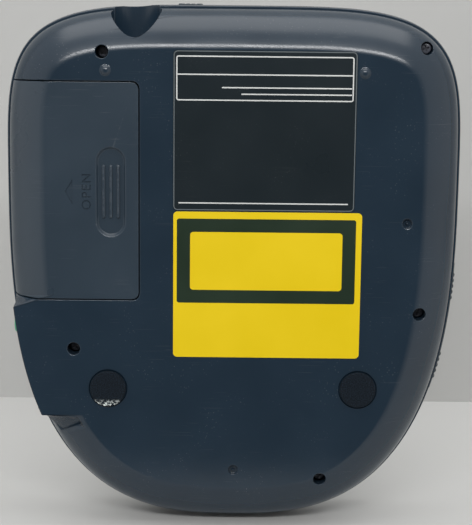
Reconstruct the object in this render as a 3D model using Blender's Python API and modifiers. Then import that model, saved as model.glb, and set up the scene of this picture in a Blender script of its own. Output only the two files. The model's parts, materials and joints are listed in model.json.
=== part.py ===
"""Portable CD player, modelled closed, standing on its feet with its back edge at +Y.

Origin: centre of the bounding box's base. +Z is up, through the lid.
"""

import math

import bmesh
import bpy
from mathutils import Matrix, Vector

MM = 0.001

# Shared clearances and cutter overrun
GAP = 0.3 * MM
RUN = 0.4 * MM
OVERRUN = 3 * MM

# Disc and its well
DISC_RADIUS = 60 * MM
DISC_THICKNESS = 1.2 * MM
WELL_CLEARANCE = 0.8 * MM
WELL_RADIUS = DISC_RADIUS + WELL_CLEARANCE
SIDE_MARGIN = 5.2 * MM
FRONT_MARGIN = 5.4 * MM
HINGE_MARGIN = 7.2 * MM
BARREL_RADIUS = 4.1 * MM
BARREL_GAP = 0.4 * MM
STRIP_DEPTH = 13.7 * MM

# Plan outline: two superellipse halves that meet at the widest line
HALF_WIDTH = WELL_RADIUS + SIDE_MARGIN
LENGTH = FRONT_MARGIN + 2 * WELL_RADIUS + HINGE_MARGIN + BARREL_RADIUS + BARREL_GAP + STRIP_DEPTH
BACK_Y = LENGTH / 2
FRONT_Y = -LENGTH / 2
DISC_Y = FRONT_Y + FRONT_MARGIN + WELL_RADIUS
HINGE_Y = DISC_Y + WELL_RADIUS + HINGE_MARGIN
STRIP_FRONT_Y = HINGE_Y + BARREL_RADIUS + BARREL_GAP
WIDEST_SHARE = 0.3141
WIDEST_Y = WIDEST_SHARE * BACK_Y
FRONT_POWER = 2.7
BACK_POWER = 4.4
QUADRANT_STEPS = 11

# Bottom shell
FOOT_HEIGHT = 0.8 * MM
WALL = 1.8 * MM
PARTING_Z = 12 * MM
RIM_INSET = 1 * MM
ROLL_WIDTH = 11 * MM
ROLL_START = math.radians(28)
ROLL_STEPS = 5
INNER_ROLL_STEPS = 2
FLOOR_Z = FOOT_HEIGHT + WALL

# Batteries and their case
CELL_DIAMETER = 14.5 * MM
CELL_LENGTH = 50.5 * MM
CELL_PLAY = 0.3 * MM
BAY_MARGIN = 6.6 * MM
BAY_WALL = 1.2 * MM
BAY_BACK_MARGIN = 22 * MM
BAY_RAISE = 1.6 * MM
BAY_LOW_MARGIN = 13 * MM
CONTACT_THICKNESS = 0.4 * MM
CONTACT_HEIGHT = 11 * MM
CONTACT_NUB_RADIUS = 1.9 * MM
CONTACT_NUB_HEIGHT = 0.6 * MM
SPRING_WIRE_RADIUS = 0.3 * MM
SPRING_TURNS = 5
SPRING_PITCH = 1.15 * MM
SPRING_BASE_RADIUS = 4.6 * MM
SPRING_TIP_RADIUS = 2.8 * MM
SPRING_POINTS_PER_TURN = 8
SPRING_LENGTH = SPRING_TURNS * SPRING_PITCH + 2 * SPRING_WIRE_RADIUS
CELL_Z = FLOOR_Z + CELL_PLAY + CELL_DIAMETER / 2
BAY_ROOF_Z = FLOOR_Z + CELL_DIAMETER + 2 * CELL_PLAY + BAY_WALL
BAY_X1 = HALF_WIDTH - BAY_MARGIN
BAY_X0 = BAY_X1 - 2 * BAY_WALL - 2 * CELL_DIAMETER - 3 * CELL_PLAY
BAY_LENGTH = CELL_LENGTH + SPRING_LENGTH + 2 * CONTACT_THICKNESS + 5 * GAP + 2 * BAY_WALL
BAY_Y1 = BACK_Y - BAY_BACK_MARGIN
BAY_Y0 = BAY_Y1 - BAY_LENGTH
BAY_Z0 = FLOOR_Z + BAY_RAISE
CELL_1_X = BAY_X0 + BAY_WALL + CELL_PLAY + CELL_DIAMETER / 2
CELL_2_X = CELL_1_X + CELL_DIAMETER + CELL_PLAY

# Flat-sided jack panel, cut into the rolled edge on the +X side, and its sockets
PANEL_GAP = 2.95 * MM
PANEL_LENGTH = 32.6 * MM
PANEL_DRAFT = 0.6 * MM
PANEL_BACK_Y = BAY_Y0 - PANEL_GAP
PANEL_BACK_SLOPE = 2.5 * MM
PANEL_FRONT_Y = PANEL_BACK_Y - PANEL_LENGTH
PANEL_FRONT_SLOPE = 5 * MM
PANEL_STEPS = 5
FRONT_STEPS = 8
SIDE_STEPS = 4
PHONES_INSET = 5.9 * MM
SOCKET_PITCH = 14 * MM
PHONES_Y = PANEL_BACK_Y - PHONES_INSET
LINE_Y = PHONES_Y - SOCKET_PITCH
SOCKET_Z = 8.6 * MM
SOCKET_BODY_LENGTH = 10.6 * MM
SOCKET_BODY_WIDTH = 7 * MM
SOCKET_BODY_HEIGHT = 6 * MM
SOCKET_BORE_RADIUS = 1.8 * MM
COLLAR_RADIUS = 2.75 * MM
COLLAR_PROUD = 0.8 * MM
LINE_PROUD = 0.1 * MM

# Finger scoop in the back end
SCOOP_OFFSET = 0.9 * MM
SCOOP_X = BAY_X0 + SCOOP_OFFSET
SCOOP_Z = 9.2 * MM
SCOOP_RADIUS = 7.2 * MM
SCOOP_DEPTH = 10.4 * MM
SCOOP_WALL = 1.3 * MM

# Battery door, its thumb grip and its guide tabs
DOOR_BORDER = 0.5 * MM
DOOR_X0 = BAY_X0 - DOOR_BORDER
DOOR_Y0 = BAY_Y0 - DOOR_BORDER
DOOR_Y1 = BAY_Y1 + DOOR_BORDER
DOOR_CORNER = 2 * MM
GRIP_OFFSET = 8.2 * MM
GRIP_RADIUS = 4.1 * MM
GRIP_LENGTH = 25.4 * MM
GRIP_DEPTH = 0.9 * MM
GRIP_RIB_COUNT = 3
GRIP_RIB_PITCH = 2.1 * MM
GRIP_RIB_WIDTH = 0.8 * MM
GRIP_RIB_LENGTH = 15 * MM
GRIP_RIB_HEIGHT = 0.7 * MM
TAB_COUNT = 2
TAB_START = 1.2 * MM
TAB_PITCH = 10 * MM
TAB_LENGTH = 4.5 * MM
TAB_REACH = 1.5 * MM
TAB_THICKNESS = 0.6 * MM
TAB_ROOT = 1.2 * MM

# Feet, pips, screws and locators in the underside
FOOT_RADIUS = 5.2 * MM
FOOT_SEAT = 0.5 * MM
FOOT_EDGE = 0.25 * MM
FOOT_PLACE_SHARES = ((0.5439, -0.4463), (-0.5561, -0.4424))
FOOT_PLACES = [(x * HALF_WIDTH, y * BACK_Y) for x, y in FOOT_PLACE_SHARES]
PIP_RADIUS = 1.5 * MM
PIP_PLACE_SHARES = ((0.5485, 0.7565), (-0.5545, 0.7552))
PIP_PLACES = [(x * HALF_WIDTH, y * BACK_Y) for x, y in PIP_PLACE_SHARES]
SCREW_SHELF_Z = 7 * MM
CORNER_SHELF_Z = 9.4 * MM
SCOOP_SCREW_GAP = 9.2 * MM
BACK_SCREW_MARGIN = 13.4 * MM
CORNER_SCREW_INSET = 11.7 * MM
CORNER_SCREW_MARGIN = 11.6 * MM
SIDE_SCREW_INSET = 12 * MM
SIDE_SCREW_SHARE = -0.1479
JACK_SCREW_SHARE = 0.6939
JACK_SCREW_GAP = 7.9 * MM
FRONT_SCREW_SHARE = -0.397
FRONT_SCREW_MARGIN = 15.2 * MM
SCREWS = (
    (SCOOP_X + SCOOP_SCREW_GAP, BACK_Y - BACK_SCREW_MARGIN, SCREW_SHELF_Z),
    (CORNER_SCREW_INSET - HALF_WIDTH, BACK_Y - CORNER_SCREW_MARGIN, CORNER_SHELF_Z),
    (SIDE_SCREW_INSET - HALF_WIDTH, SIDE_SCREW_SHARE * BACK_Y, SCREW_SHELF_Z),
    (JACK_SCREW_SHARE * HALF_WIDTH, LINE_Y + JACK_SCREW_GAP, SCREW_SHELF_Z),
    (FRONT_SCREW_SHARE * HALF_WIDTH, FRONT_Y + FRONT_SCREW_MARGIN, SCREW_SHELF_Z),
)
SCREW_PLACES = [(x, y) for x, y, _ in SCREWS]
TUBE_RADIUS = 3.1 * MM
SCREW_HOLE_RADIUS = 1.85 * MM
SCREW_HEAD_RADIUS = 1.55 * MM
SCREW_HEAD_HEIGHT = 1.2 * MM
SCREW_SHANK_RADIUS = 0.95 * MM
SCREW_LENGTH = 9.2 * MM
SHANK_HOLE_RADIUS = SCREW_SHANK_RADIUS + GAP
BAY_LOCATOR_GAP = 6 * MM
BAY_LOCATOR_SHARE = 0.0785
LOCATOR_PLACE_SHARES = ((-0.753, 0.199), (-0.0106, -0.7657))
LOCATOR_PLACES = [(x * HALF_WIDTH, y * BACK_Y) for x, y in LOCATOR_PLACE_SHARES]
LOCATOR_PLACES.insert(0, (BAY_X0 - BAY_LOCATOR_GAP, BAY_LOCATOR_SHARE * BACK_Y))
LOCATOR_RADIUS = 1.35 * MM
LOCATOR_DEPTH = 1 * MM
POST_RADIUS = 2.2 * MM
PIN_RADIUS = 1.2 * MM

# Upper case
DECK_ROOF_Z = BAY_ROOF_Z + RUN
WELL_FLOOR = 1.2 * MM
WELL_Z = DECK_ROOF_Z + WELL_FLOOR
SEAT_RISE = 2.2 * MM
SEAT_Z = WELL_Z + SEAT_RISE
DECK_RISE = 0.4 * MM
DECK_Z = SEAT_Z + DECK_RISE
SHOULDER_RISE = 0.8 * MM
SHOULDER_Z = DECK_ROOF_Z + SHOULDER_RISE
BELT_RISE = 1.3 * MM
BELT_HEIGHT = 2 * MM
BELT_INSET = 0.3 * MM
SHOULDER_INSET = 0.9 * MM
LIP_INSET = 3 * MM
SKIRT_WALL = 1.8 * MM

# Lid
LID_EDGE_INSET = 0.5 * MM
LID_WALL = 1.6 * MM
LID_Z = SHOULDER_Z + GAP
LID_SIDE_HEIGHT = 2.2 * MM
LID_ROLL_WIDTH = 11 * MM
LID_ROLL_HEIGHT = 5.7 * MM
LID_CROWN = 1.4 * MM
LID_ROLL_STEPS = 5
LID_INNER_STEPS = 2
LID_CROWN_SHARES = (0.35, 0.7)
BARREL_RISE = 0.1 * MM
HINGE_Z = LID_Z + BARREL_RADIUS + BARREL_RISE
EAR_RADIUS = 3.4 * MM
EAR_WIDTH = 7.4 * MM
EAR_X = 40 * MM
NOTCH_DEPTH = 0.8 * MM
HINGE_PIN_RADIUS = 1 * MM
HINGE_PIN_LENGTH = 16 * MM
LINER_MARGIN = 5 * MM
LINER_RADIUS = HALF_WIDTH - LID_ROLL_WIDTH - LINER_MARGIN
LINER_THICKNESS = 1 * MM
LINER_CLEARANCE = 1.6 * MM
LINER_RING_RADIUS = 14 * MM
LINER_RING_HEIGHT = 0.6 * MM

# Latch hook on the lid and the open button that frees it
HOOK_WIDTH = 5 * MM
HOOK_THICKNESS = 0.8 * MM
HOOK_INSET = 3.2 * MM
HOOK_ROOT_REACH = 1.6 * MM
HOOK_DROP = 3 * MM
HOOK_LOW_Z = DECK_ROOF_Z - HOOK_DROP
NOSE_HEIGHT = 1.2 * MM
NOSE_REACH = 0.6 * MM
BUTTON_HALF_WIDTH = 11 * MM
BUTTON_RISE = 1.7 * MM
BUTTON_LOW_Z = PARTING_Z + BUTTON_RISE
BUTTON_HEIGHT = 4 * MM
BUTTON_THICKNESS = 1.6 * MM
BUTTON_STEPS = 6
LATCH_ARM_WIDTH = 1.4 * MM
LATCH_ARM_HEIGHT = 1.2 * MM
LATCH_SPAN = 9 * MM
LATCH_BAR_DEPTH = 1.4 * MM

# Control strip: keys, key board and display
STRIP_ROOF_RISE = 5 * MM
STRIP_ROOF = 1.4 * MM
STRIP_NECK_INSET = 1.4 * MM
STRIP_ROOF_Z = DECK_ROOF_Z + STRIP_ROOF_RISE
POCKET_Z = STRIP_ROOF_Z + STRIP_ROOF
POCKET_FRONT = 1.3 * MM
POCKET_DEPTH = 7.2 * MM
POCKET_CORNER = 1.2 * MM
KEY_WIDTH = 6.4 * MM
KEY_PITCH = 7.6 * MM
KEY_HEIGHT = 2.1 * MM
KEY_ROUND = 0.6 * MM
KEY_STEM_RADIUS = 1.2 * MM
KEY_TRAVEL = 0.5 * MM
LEFT_KEYS = ("mode_key", "stop_key", "play_key")
RIGHT_KEYS = ("skip_back_key", "skip_forward_key", "volume_down_key", "volume_up_key")
LEFT_KEYS_X = -32.6 * MM
RIGHT_KEYS_X = 29.6 * MM
DISPLAY_X = -3 * MM
DISPLAY_WIDTH = 28.4 * MM
DISPLAY_BORDER = 1.6 * MM
WINDOW_THICKNESS = 1 * MM
DISPLAY_DEPTH = 3.2 * MM
BOARD_THICKNESS = 1 * MM
SWITCH_HEIGHT = 0.9 * MM
SWITCH_WIDTH = 4 * MM
BOARD_END_MARGIN = 20 * MM
BOARD_EDGE = 0.9 * MM
BOARD_POST_RADIUS = 1.5 * MM
BOARD_POST_SHARES = (-0.303, 0.203)
BOARD_POST_PLACES_X = [share * HALF_WIDTH for share in BOARD_POST_SHARES]

# Hold switch at the back edge
HOLD_X = 13.9 * MM
HOLD_WIDTH = 7 * MM
HOLD_HEIGHT = 3.4 * MM
HOLD_RISE = 4 * MM
HOLD_Z = PARTING_Z + HOLD_RISE
HOLD_PROUD = 0.4 * MM
HOLD_SINK = 0.8 * MM
HOLD_TRAVEL = 2.2 * MM
HOLD_STEM_WIDTH = 3 * MM
HOLD_STEM_HEIGHT = 1.6 * MM
HOLD_FLANGE = 1 * MM

# Ribbed grip on the -X side
SIDE_GRIP_BACK_Y = 2 * MM
SIDE_GRIP_FRONT_Y = -36 * MM
SIDE_GRIP_RISE = 1.4 * MM
SIDE_GRIP_LOW_Z = PARTING_Z + SIDE_GRIP_RISE
SIDE_GRIP_HEIGHT = 5.2 * MM
SIDE_GRIP_SEAT = 1 * MM
SIDE_GRIP_PROUD = 0.1 * MM
SIDE_RIB_PROUD = 0.4 * MM
SIDE_RIB_COUNT = 5
SIDE_RIB_PITCH = 1.7 * MM
SIDE_RIB_MARGIN = 3.6 * MM

# Power socket in the end wall of the finger scoop
DC_SIZE = 9 * MM
DC_LENGTH = 9.6 * MM
DC_NOSE_RADIUS = 2.8 * MM
DC_BORE_RADIUS = 1.7 * MM
DC_BORE_DEPTH = 8 * MM
DC_PIN_RADIUS = 0.6 * MM

# Main circuit board
PCB_RISE = 1.6 * MM
PCB_Z = FLOOR_Z + PCB_RISE
PCB_THICKNESS = 1.2 * MM
PCB_INSET = 11.6 * MM

# Mechanism frame: x runs outward along the pickup's travel, y across it, from the spindle
TRAVEL_DEGREES = 211
LENS_START = 24 * MM
LENS_END_MARGIN = 3 * MM
LENS_END = DISC_RADIUS - LENS_END_MARGIN
CHASSIS_DROP = 5.2 * MM
CHASSIS_Z = DECK_ROOF_Z - CHASSIS_DROP
CHASSIS_THICKNESS = 1 * MM
CHASSIS_BACK = 17 * MM
CHASSIS_MAIN_EDGE = 21.5 * MM
CHASSIS_MAIN_SLOT = 10.5 * MM
CHASSIS_MAIN_SETBACK = 1.4 * MM
CHASSIS_MAIN_END = LENS_END - CHASSIS_MAIN_SETBACK
CHASSIS_AUX_EDGE = 19 * MM
CHASSIS_AUX_SLOT = 9.2 * MM
CHASSIS_AUX_REACH = 0.4 * MM
CHASSIS_AUX_END = LENS_END + CHASSIS_AUX_REACH
CHASSIS_SLOT_START = 13 * MM
CHASSIS_CORNER = 9 * MM
ARM_RADIUS = 5.5 * MM
ARM_ROOT_SHARES = ((-0.1053, -0.0491), (0.5193, -0.2807), (0.4491, 0.2456))
ARM_ROOTS = [(x * LENS_END, y * LENS_END) for x, y in ARM_ROOT_SHARES]
DAMPER_RADIUS = 4.5 * MM
DAMPER_NECK_RADIUS = 3 * MM
DAMPER_HEIGHT = 6 * MM
DAMPER_BORE_RADIUS = PIN_RADIUS + RUN
MOTOR_RADIUS = 11.5 * MM
MOTOR_HEIGHT = 6.8 * MM
MOTOR_NECK_RADIUS = 4 * MM
MOTOR_NECK_HEIGHT = 2.2 * MM
SHAFT_RADIUS = 1 * MM
TURNTABLE_RADIUS = 15 * MM
TURNTABLE_THICKNESS = 1.7 * MM
TURNTABLE_HUB_RADIUS = 7.4 * MM
TURNTABLE_HUB_HEIGHT = 1.5 * MM
TURNTABLE_NECK_RADIUS = 5 * MM
TURNTABLE_NECK_DEPTH = 1.4 * MM
HUB_CHAMFER = 0.8 * MM
MECH_WINDOW_RADIUS = 17 * MM
MECH_WINDOW_HALF = 9 * MM
MECH_WINDOW_MARGIN = 3.2 * MM
MECH_WINDOW_END = LENS_END + MECH_WINDOW_MARGIN
MECH_WINDOW_CORNER = 3 * MM
ROD_SETBACK = 0.2 * MM
MAIN_ROD_SIDE = 17 * MM
MAIN_ROD_RADIUS = 1.5 * MM
MAIN_ROD_START = 9.6 * MM
MAIN_ROD_END = CHASSIS_MAIN_END - ROD_SETBACK
AUX_ROD_SIDE = 11 * MM
AUX_ROD_RADIUS = 1 * MM
AUX_ROD_START = 10.4 * MM
AUX_ROD_END = CHASSIS_AUX_END - ROD_SETBACK
ROD_DROP = 2.5 * MM
ROD_Z = CHASSIS_Z - ROD_DROP
BRACKET_LENGTH = 1.6 * MM
BRACKET_BORDER = 1.2 * MM
SLED_LOW = 1.8 * MM
SLED_HIGH = 1.7 * MM
SLED_INNER = 9 * MM
SLED_OUTER = 3 * MM
SLED_HALF = 7.5 * MM
TOWER_HALF = 6 * MM
TOWER_TOP = 0.6 * MM
BUSH_INNER = 12 * MM
BUSH_OUTER = 3.6 * MM
BUSH_BORDER = 1.2 * MM
FORK_INNER = 8 * MM
FORK_OUTER = 2 * MM
LENS_HOLDER_LENGTH = 8.4 * MM
LENS_HOLDER_WIDTH = 10 * MM
LENS_HOLDER_HEIGHT = 1.6 * MM
LENS_RADIUS = 2.3 * MM
LENS_HEIGHT = 0.7 * MM

# Feed gears and rack
GEAR_MODULE = 0.6 * MM
PRESSURE = math.radians(20)
ADDENDUM_SHARE = 0.8
DEDENDUM_SHARE = 1.1
BACKLASH = 0.14 * MM
PINION_TEETH = 12
LARGE_TEETH = 30
RACK_TEETH = 20
RACK_SIDE = 16 * MM
RACK_BACK = 13.5 * MM
RACK_LOW = 2 * MM
RACK_HEIGHT = 2.2 * MM
SMALL_GEAR_EXTRA = 0.4 * MM
LARGE_GEAR_DROP = 7.6 * MM
LARGE_GEAR_HEIGHT = 1.4 * MM
GEAR_AXLE_RADIUS = 0.8 * MM
GEAR_PLACE = 23.6 * MM
SMALL_PITCH_RADIUS = GEAR_MODULE * PINION_TEETH / 2
LARGE_PITCH_RADIUS = GEAR_MODULE * LARGE_TEETH / 2
GEAR_SIDE = RACK_SIDE + SMALL_PITCH_RADIUS
FEED_MOTOR_BEARING = math.radians(50.6)
FEED_MOTOR_RADIUS = 7 * MM
FEED_MOTOR_HEIGHT = 5.2 * MM
FEED_SHAFT_RADIUS = 0.7 * MM
FEED_SHAFT_REACH = 3.4 * MM

# Facets round a circle, by size of circle
FINE = 40
ROUND = 20
SMALL = 12
TINY = 8

# Materials: colour, roughness, metallic
FINISHES = {
    "slate_plastic": ((0.027, 0.042, 0.055), 0.5, 0.0),
    "door_plastic": ((0.04, 0.057, 0.072), 0.55, 0.0),
    "silver_paint": ((0.42, 0.44, 0.45), 0.35, 0.6),
    "dark_plastic": ((0.02, 0.022, 0.025), 0.5, 0.0),
    "grip_rubber": ((0.05, 0.062, 0.072), 0.7, 0.0),
    "foot_rubber": ((0.015, 0.018, 0.02), 0.8, 0.0),
    "green_plastic": ((0.09, 0.36, 0.2), 0.4, 0.0),
    "key_plastic": ((0.3, 0.31, 0.32), 0.4, 0.3),
    "black_screw": ((0.02, 0.02, 0.022), 0.35, 0.9),
    "steel": ((0.5, 0.5, 0.5), 0.3, 1.0),
    "board_green": ((0.02, 0.12, 0.05), 0.5, 0.0),
    "gear_white": ((0.7, 0.7, 0.66), 0.45, 0.0),
    "clear_window": ((0.2, 0.22, 0.22), 0.1, 0.0),
    "display_grey": ((0.25, 0.3, 0.24), 0.4, 0.0),
    "lens_glass": ((0.15, 0.2, 0.35), 0.05, 0.0),
}

parts = bpy.data.collections.new("portable_cd_player")
tools = bpy.data.collections.new("cutting_tools")


def clear_scene():
    for old in list(bpy.data.objects):
        bpy.data.objects.remove(old, do_unlink=True)
    bpy.context.scene.collection.children.link(parts)
    bpy.context.scene.collection.children.link(tools)


def material(name):
    """The named finish as a Principled material, made once."""
    found = bpy.data.materials.get(name)
    if found:
        return found
    colour, roughness, metallic = FINISHES[name]
    made = bpy.data.materials.new(name)
    made.use_nodes = True
    shader = made.node_tree.nodes["Principled BSDF"]
    shader.inputs["Base Color"].default_value = (*colour, 1)
    shader.inputs["Roughness"].default_value = roughness
    shader.inputs["Metallic"].default_value = metallic
    return made


def place(obj, finish, parent=None):
    """Makes an object one of the player's parts."""
    parts.objects.link(obj)
    obj.data.materials.clear()
    obj.data.materials.append(material(finish))
    obj.data.shade_smooth()
    obj.data.set_sharp_from_angle(angle=math.radians(30))
    obj.parent = parent
    return obj


def set_origin(obj, point):
    """Moves an object's origin to a point of its own parent's space, leaving its shape in place."""
    point = Vector(point)
    obj.data.transform(Matrix.Translation(-point))
    obj.location = obj.location + point
    return obj


def boolean(target, tool, operation, parent=None):
    tools.objects.link(tool)
    tool.hide_render = True
    tool.display_type = "WIRE"
    tool.parent = parent
    step = target.modifiers.new(f"{operation.lower()}_{tool.name}", "BOOLEAN")
    step.operation = operation
    step.object = tool
    return target


def cut(target, tool, parent=None):
    return boolean(target, tool, "DIFFERENCE", parent)


def join(target, tool, parent=None):
    return boolean(target, tool, "UNION", parent)


def keep_inside(target, tool):
    return boolean(target, tool, "INTERSECT")


def finished(name, build):
    """An object from a bmesh, with its faces turned outward."""
    bmesh.ops.recalc_face_normals(build, faces=build.faces)
    mesh = bpy.data.meshes.new(name)
    build.to_mesh(mesh)
    build.free()
    return bpy.data.objects.new(name, mesh)


def box(name, low, high, radius=0.0, vertical_only=False, segments=2):
    """Box between two corners, with all edges or only the upright ones rounded."""
    low, high = Vector(low), Vector(high)
    build = bmesh.new()
    size = Matrix.Diagonal((*(high - low), 1))
    bmesh.ops.create_cube(build, size=1, matrix=Matrix.Translation((low + high) / 2) @ size)
    if radius:
        edges = [
            edge
            for edge in build.edges
            if not vertical_only or abs((edge.verts[0].co - edge.verts[1].co).z) > (high.z - low.z) / 2
        ]
        bmesh.ops.bevel(
            build,
            geom=edges,
            offset=radius,
            segments=segments,
            affect="EDGES",
            profile=0.5,
            clamp_overlap=True,
        )
    return finished(name, build)


def rods(name, runs, segments=SMALL):
    """Round bars that don't meet, as one object, each from (start, end, radius)."""
    build = bmesh.new()
    for start, end, radius in runs:
        start, end = Vector(start), Vector(end)
        run = end - start
        turn = Vector((0, 0, 1)).rotation_difference(run).to_matrix().to_4x4()
        bmesh.ops.create_cone(
            build,
            cap_ends=True,
            segments=segments,
            radius1=radius,
            radius2=radius,
            depth=run.length,
            matrix=Matrix.Translation((start + end) / 2) @ turn,
        )
    return finished(name, build)


def uprights(name, places, radius, low, high, segments=SMALL):
    """Upright round bars of one radius at several places."""
    return rods(name, [((x, y, low), (x, y, high), radius) for x, y in places], segments)


def turned(name, profile, segments):
    """Solid turned about its own Z axis, from (radius, height) points that run down its outer side."""
    mesh = bpy.data.meshes.new(name)
    edges = [(i, i + 1) for i in range(len(profile) - 1)]
    if profile[0][0] > 0:
        edges.append((len(profile) - 1, 0))
    mesh.from_pydata([(radius, 0, height) for radius, height in profile], edges, [])
    obj = bpy.data.objects.new(name, mesh)
    turn = obj.modifiers.new("turn", "SCREW")
    turn.steps = segments
    turn.render_steps = segments
    turn.use_merge_vertices = True
    turn.merge_threshold = GAP / 30
    return obj


def flat(name, points, low, high):
    """Plate with the given outline, between two heights."""
    curve = bpy.data.curves.new(name, "CURVE")
    curve.dimensions = "2D"
    curve.fill_mode = "BOTH"
    curve.extrude = (high - low) / 2
    spline = curve.splines.new("POLY")
    spline.points.add(len(points) - 1)
    for point, (x, y) in zip(spline.points, points):
        point.co = (x, y, 0, 1)
    spline.use_cyclic_u = True
    return meshed(name, curve, Matrix.Translation((0, 0, (low + high) / 2)))


def meshed(name, curve, matrix):
    """A curve's solid as a mesh object, with its loose caps welded on."""
    drawn = bpy.data.objects.new(f"{name}_curve", curve)
    bpy.context.scene.collection.objects.link(drawn)
    bpy.context.view_layer.update()
    graph = bpy.context.evaluated_depsgraph_get()
    mesh = bpy.data.meshes.new_from_object(drawn.evaluated_get(graph))
    bpy.data.objects.remove(drawn)
    build = bmesh.new()
    build.from_mesh(mesh)
    bmesh.ops.remove_doubles(build, verts=build.verts, dist=GAP / 300)
    bmesh.ops.transform(build, matrix=matrix, verts=build.verts)
    return finished(name, build)


def skin(name, rings):
    """Closed loft through rings of equally many points, with both ends filled."""
    build = bmesh.new()
    rows = [[build.verts.new(point) for point in ring] for ring in rings]
    count = len(rows[0])
    for lower, upper in zip(rows, rows[1:]):
        for i in range(count):
            j = (i + 1) % count
            build.faces.new((lower[i], lower[j], upper[j], upper[i]))
    build.faces.new(rows[0])
    build.faces.new(rows[-1])
    bmesh.ops.triangulate(build, faces=[face for face in build.faces if len(face.verts) == 4])
    return finished(name, build)


def slot_outline(start, end, radius, steps=6):
    """Outline with round ends about two points."""
    start, end = Vector(start), Vector(end)
    bearing = math.atan2(end.y - start.y, end.x - start.x)
    points = []
    for centre, first in ((end, bearing - math.pi / 2), (start, bearing + math.pi / 2)):
        for i in range(steps + 1):
            angle = first + math.pi * i / steps
            points.append((centre.x + radius * math.cos(angle), centre.y + radius * math.sin(angle)))
    return points


def outline_station(angle, side, end):
    """Point of the widest plan outline and the outward direction there, in one quadrant."""
    power = BACK_POWER if end > 0 else FRONT_POWER
    reach = BACK_Y - WIDEST_Y if end > 0 else WIDEST_Y - FRONT_Y
    across = max(math.cos(angle), 0) ** (2 / power)
    along = max(math.sin(angle), 0) ** (2 / power)
    point = Vector((side * HALF_WIDTH * across, WIDEST_Y + end * reach * along))
    outward = Vector((side * across ** (power - 1) / HALF_WIDTH, end * along ** (power - 1) / reach))
    return point, outward.normalized()


def angle_at(y):
    """Quadrant angle at which the outline passes a given y."""
    power = BACK_POWER if y > WIDEST_Y else FRONT_POWER
    reach = BACK_Y - WIDEST_Y if y > WIDEST_Y else WIDEST_Y - FRONT_Y
    return math.asin(min(abs(y - WIDEST_Y) / reach, 1) ** (power / 2))


def spread(first, last, steps):
    return [first + (last - first) * i / steps for i in range(steps + 1)]


def plain_stations():
    """Stations right round the outline, anticlockwise from the +X side."""
    quarter = spread(0, math.pi / 2, QUADRANT_STEPS)
    stations = [outline_station(angle, 1, 1) for angle in quarter[:-1]]
    stations += [outline_station(angle, -1, 1) for angle in reversed(quarter[1:])]
    stations += [outline_station(angle, -1, -1) for angle in quarter[:-1]]
    stations += [outline_station(angle, 1, -1) for angle in reversed(quarter[1:])]
    return stations


def panel_stations(trim):
    """The same stations, with a flag on those of the jack panel, whose ends are trimmed inward."""
    stations = [(*station, False) for station in plain_stations()[: 3 * QUADRANT_STEPS]]
    front = PANEL_FRONT_Y + trim
    back = PANEL_BACK_Y - trim
    runs = (
        (math.pi / 2, angle_at(front - PANEL_FRONT_SLOPE), FRONT_STEPS, False),
        (angle_at(front), angle_at(back), PANEL_STEPS, True),
        (angle_at(back + PANEL_BACK_SLOPE), 0, SIDE_STEPS, False),
    )
    for first, last, steps, is_panel in runs:
        for angle in spread(first, last, steps):
            if angle > 0:
                stations.append((*outline_station(angle, 1, -1), is_panel))
    return stations


def shell_ring(stations, roll_share, inset, z):
    """Ring of the bottom shell, set in by a share of the rolled edge's width."""
    ring = []
    for point, outward, is_panel in stations:
        width = PANEL_DRAFT if is_panel else ROLL_WIDTH
        x, y = point - outward * (inset + width * roll_share)
        ring.append((x, y, z))
    return ring


def ring_at(inset, z):
    return [(*(point - outward * inset), z) for point, outward in plain_stations()]


def roll_shares(steps):
    """How far in and how far up each step of the rolled edge lies, from the flat to the rim."""
    for angle in spread(ROLL_START, math.pi / 2, steps):
        yield (1 - math.sin(angle)) / (1 - math.sin(ROLL_START)), 1 - math.cos(angle) / math.cos(ROLL_START)


def shell_rings(inset, floor, trim, steps):
    stations = panel_stations(trim)
    return [
        shell_ring(stations, inward, inset, floor + (PARTING_Z - floor) * upward)
        for inward, upward in roll_shares(steps)
    ]


def shell_form(name):
    """The bottom shell's filled form, out to the middle of its wall."""
    half = WALL / 2
    return skin(name, shell_rings(RIM_INSET + half, FOOT_HEIGHT + half, half, ROLL_STEPS))


def bottom_cup(name):
    outer = shell_rings(RIM_INSET, FOOT_HEIGHT, 0, ROLL_STEPS)
    inner = shell_rings(RIM_INSET + WALL, FLOOR_Z, WALL, INNER_ROLL_STEPS)
    return skin(name, outer + inner[::-1])


def scoop_run(radius, end_y):
    """Bar along Y on the plug scoop's axis, out past the back edge."""
    return ((SCOOP_X, end_y, SCOOP_Z), (SCOOP_X, BACK_Y + OVERRUN, SCOOP_Z), radius)


SCOOP_END_Y = BACK_Y - SCOOP_DEPTH


def add_scoop_wall(target, name, form):
    """Wall of the plug scoop, kept inside the target's own outer form."""
    wall = rods(name, [scoop_run(SCOOP_RADIUS + SCOOP_WALL, SCOOP_END_Y - SCOOP_WALL)], ROUND)
    keep_inside(wall, form)
    join(target, wall)


def cut_scoop(target, name):
    cut(target, rods(name, [scoop_run(SCOOP_RADIUS, SCOOP_END_Y)], ROUND))
    nose = ((SCOOP_X, SCOOP_END_Y - OVERRUN, SCOOP_Z), (SCOOP_X, BACK_Y, SCOOP_Z), DC_NOSE_RADIUS + GAP)
    cut(target, rods(f"{name}_nose_hole", [nose]))


def panel_wall_x(y):
    """x of the jack panel's rim."""
    return outline_station(angle_at(y), 1, -1)[0].x - RIM_INSET


def socket_run(y, radius, inner_depth):
    """Bar along X through the jack panel."""
    wall_x = panel_wall_x(y)
    return ((wall_x - inner_depth, y, SOCKET_Z), (wall_x + OVERRUN, y, SOCKET_Z), radius)


def door_box(name, gap, high):
    low = (DOOR_X0 + gap, DOOR_Y0 + gap, -OVERRUN)
    top = (HALF_WIDTH + OVERRUN, DOOR_Y1 - gap, high)
    return box(name, low, top, DOOR_CORNER, vertical_only=True, segments=3)


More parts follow.
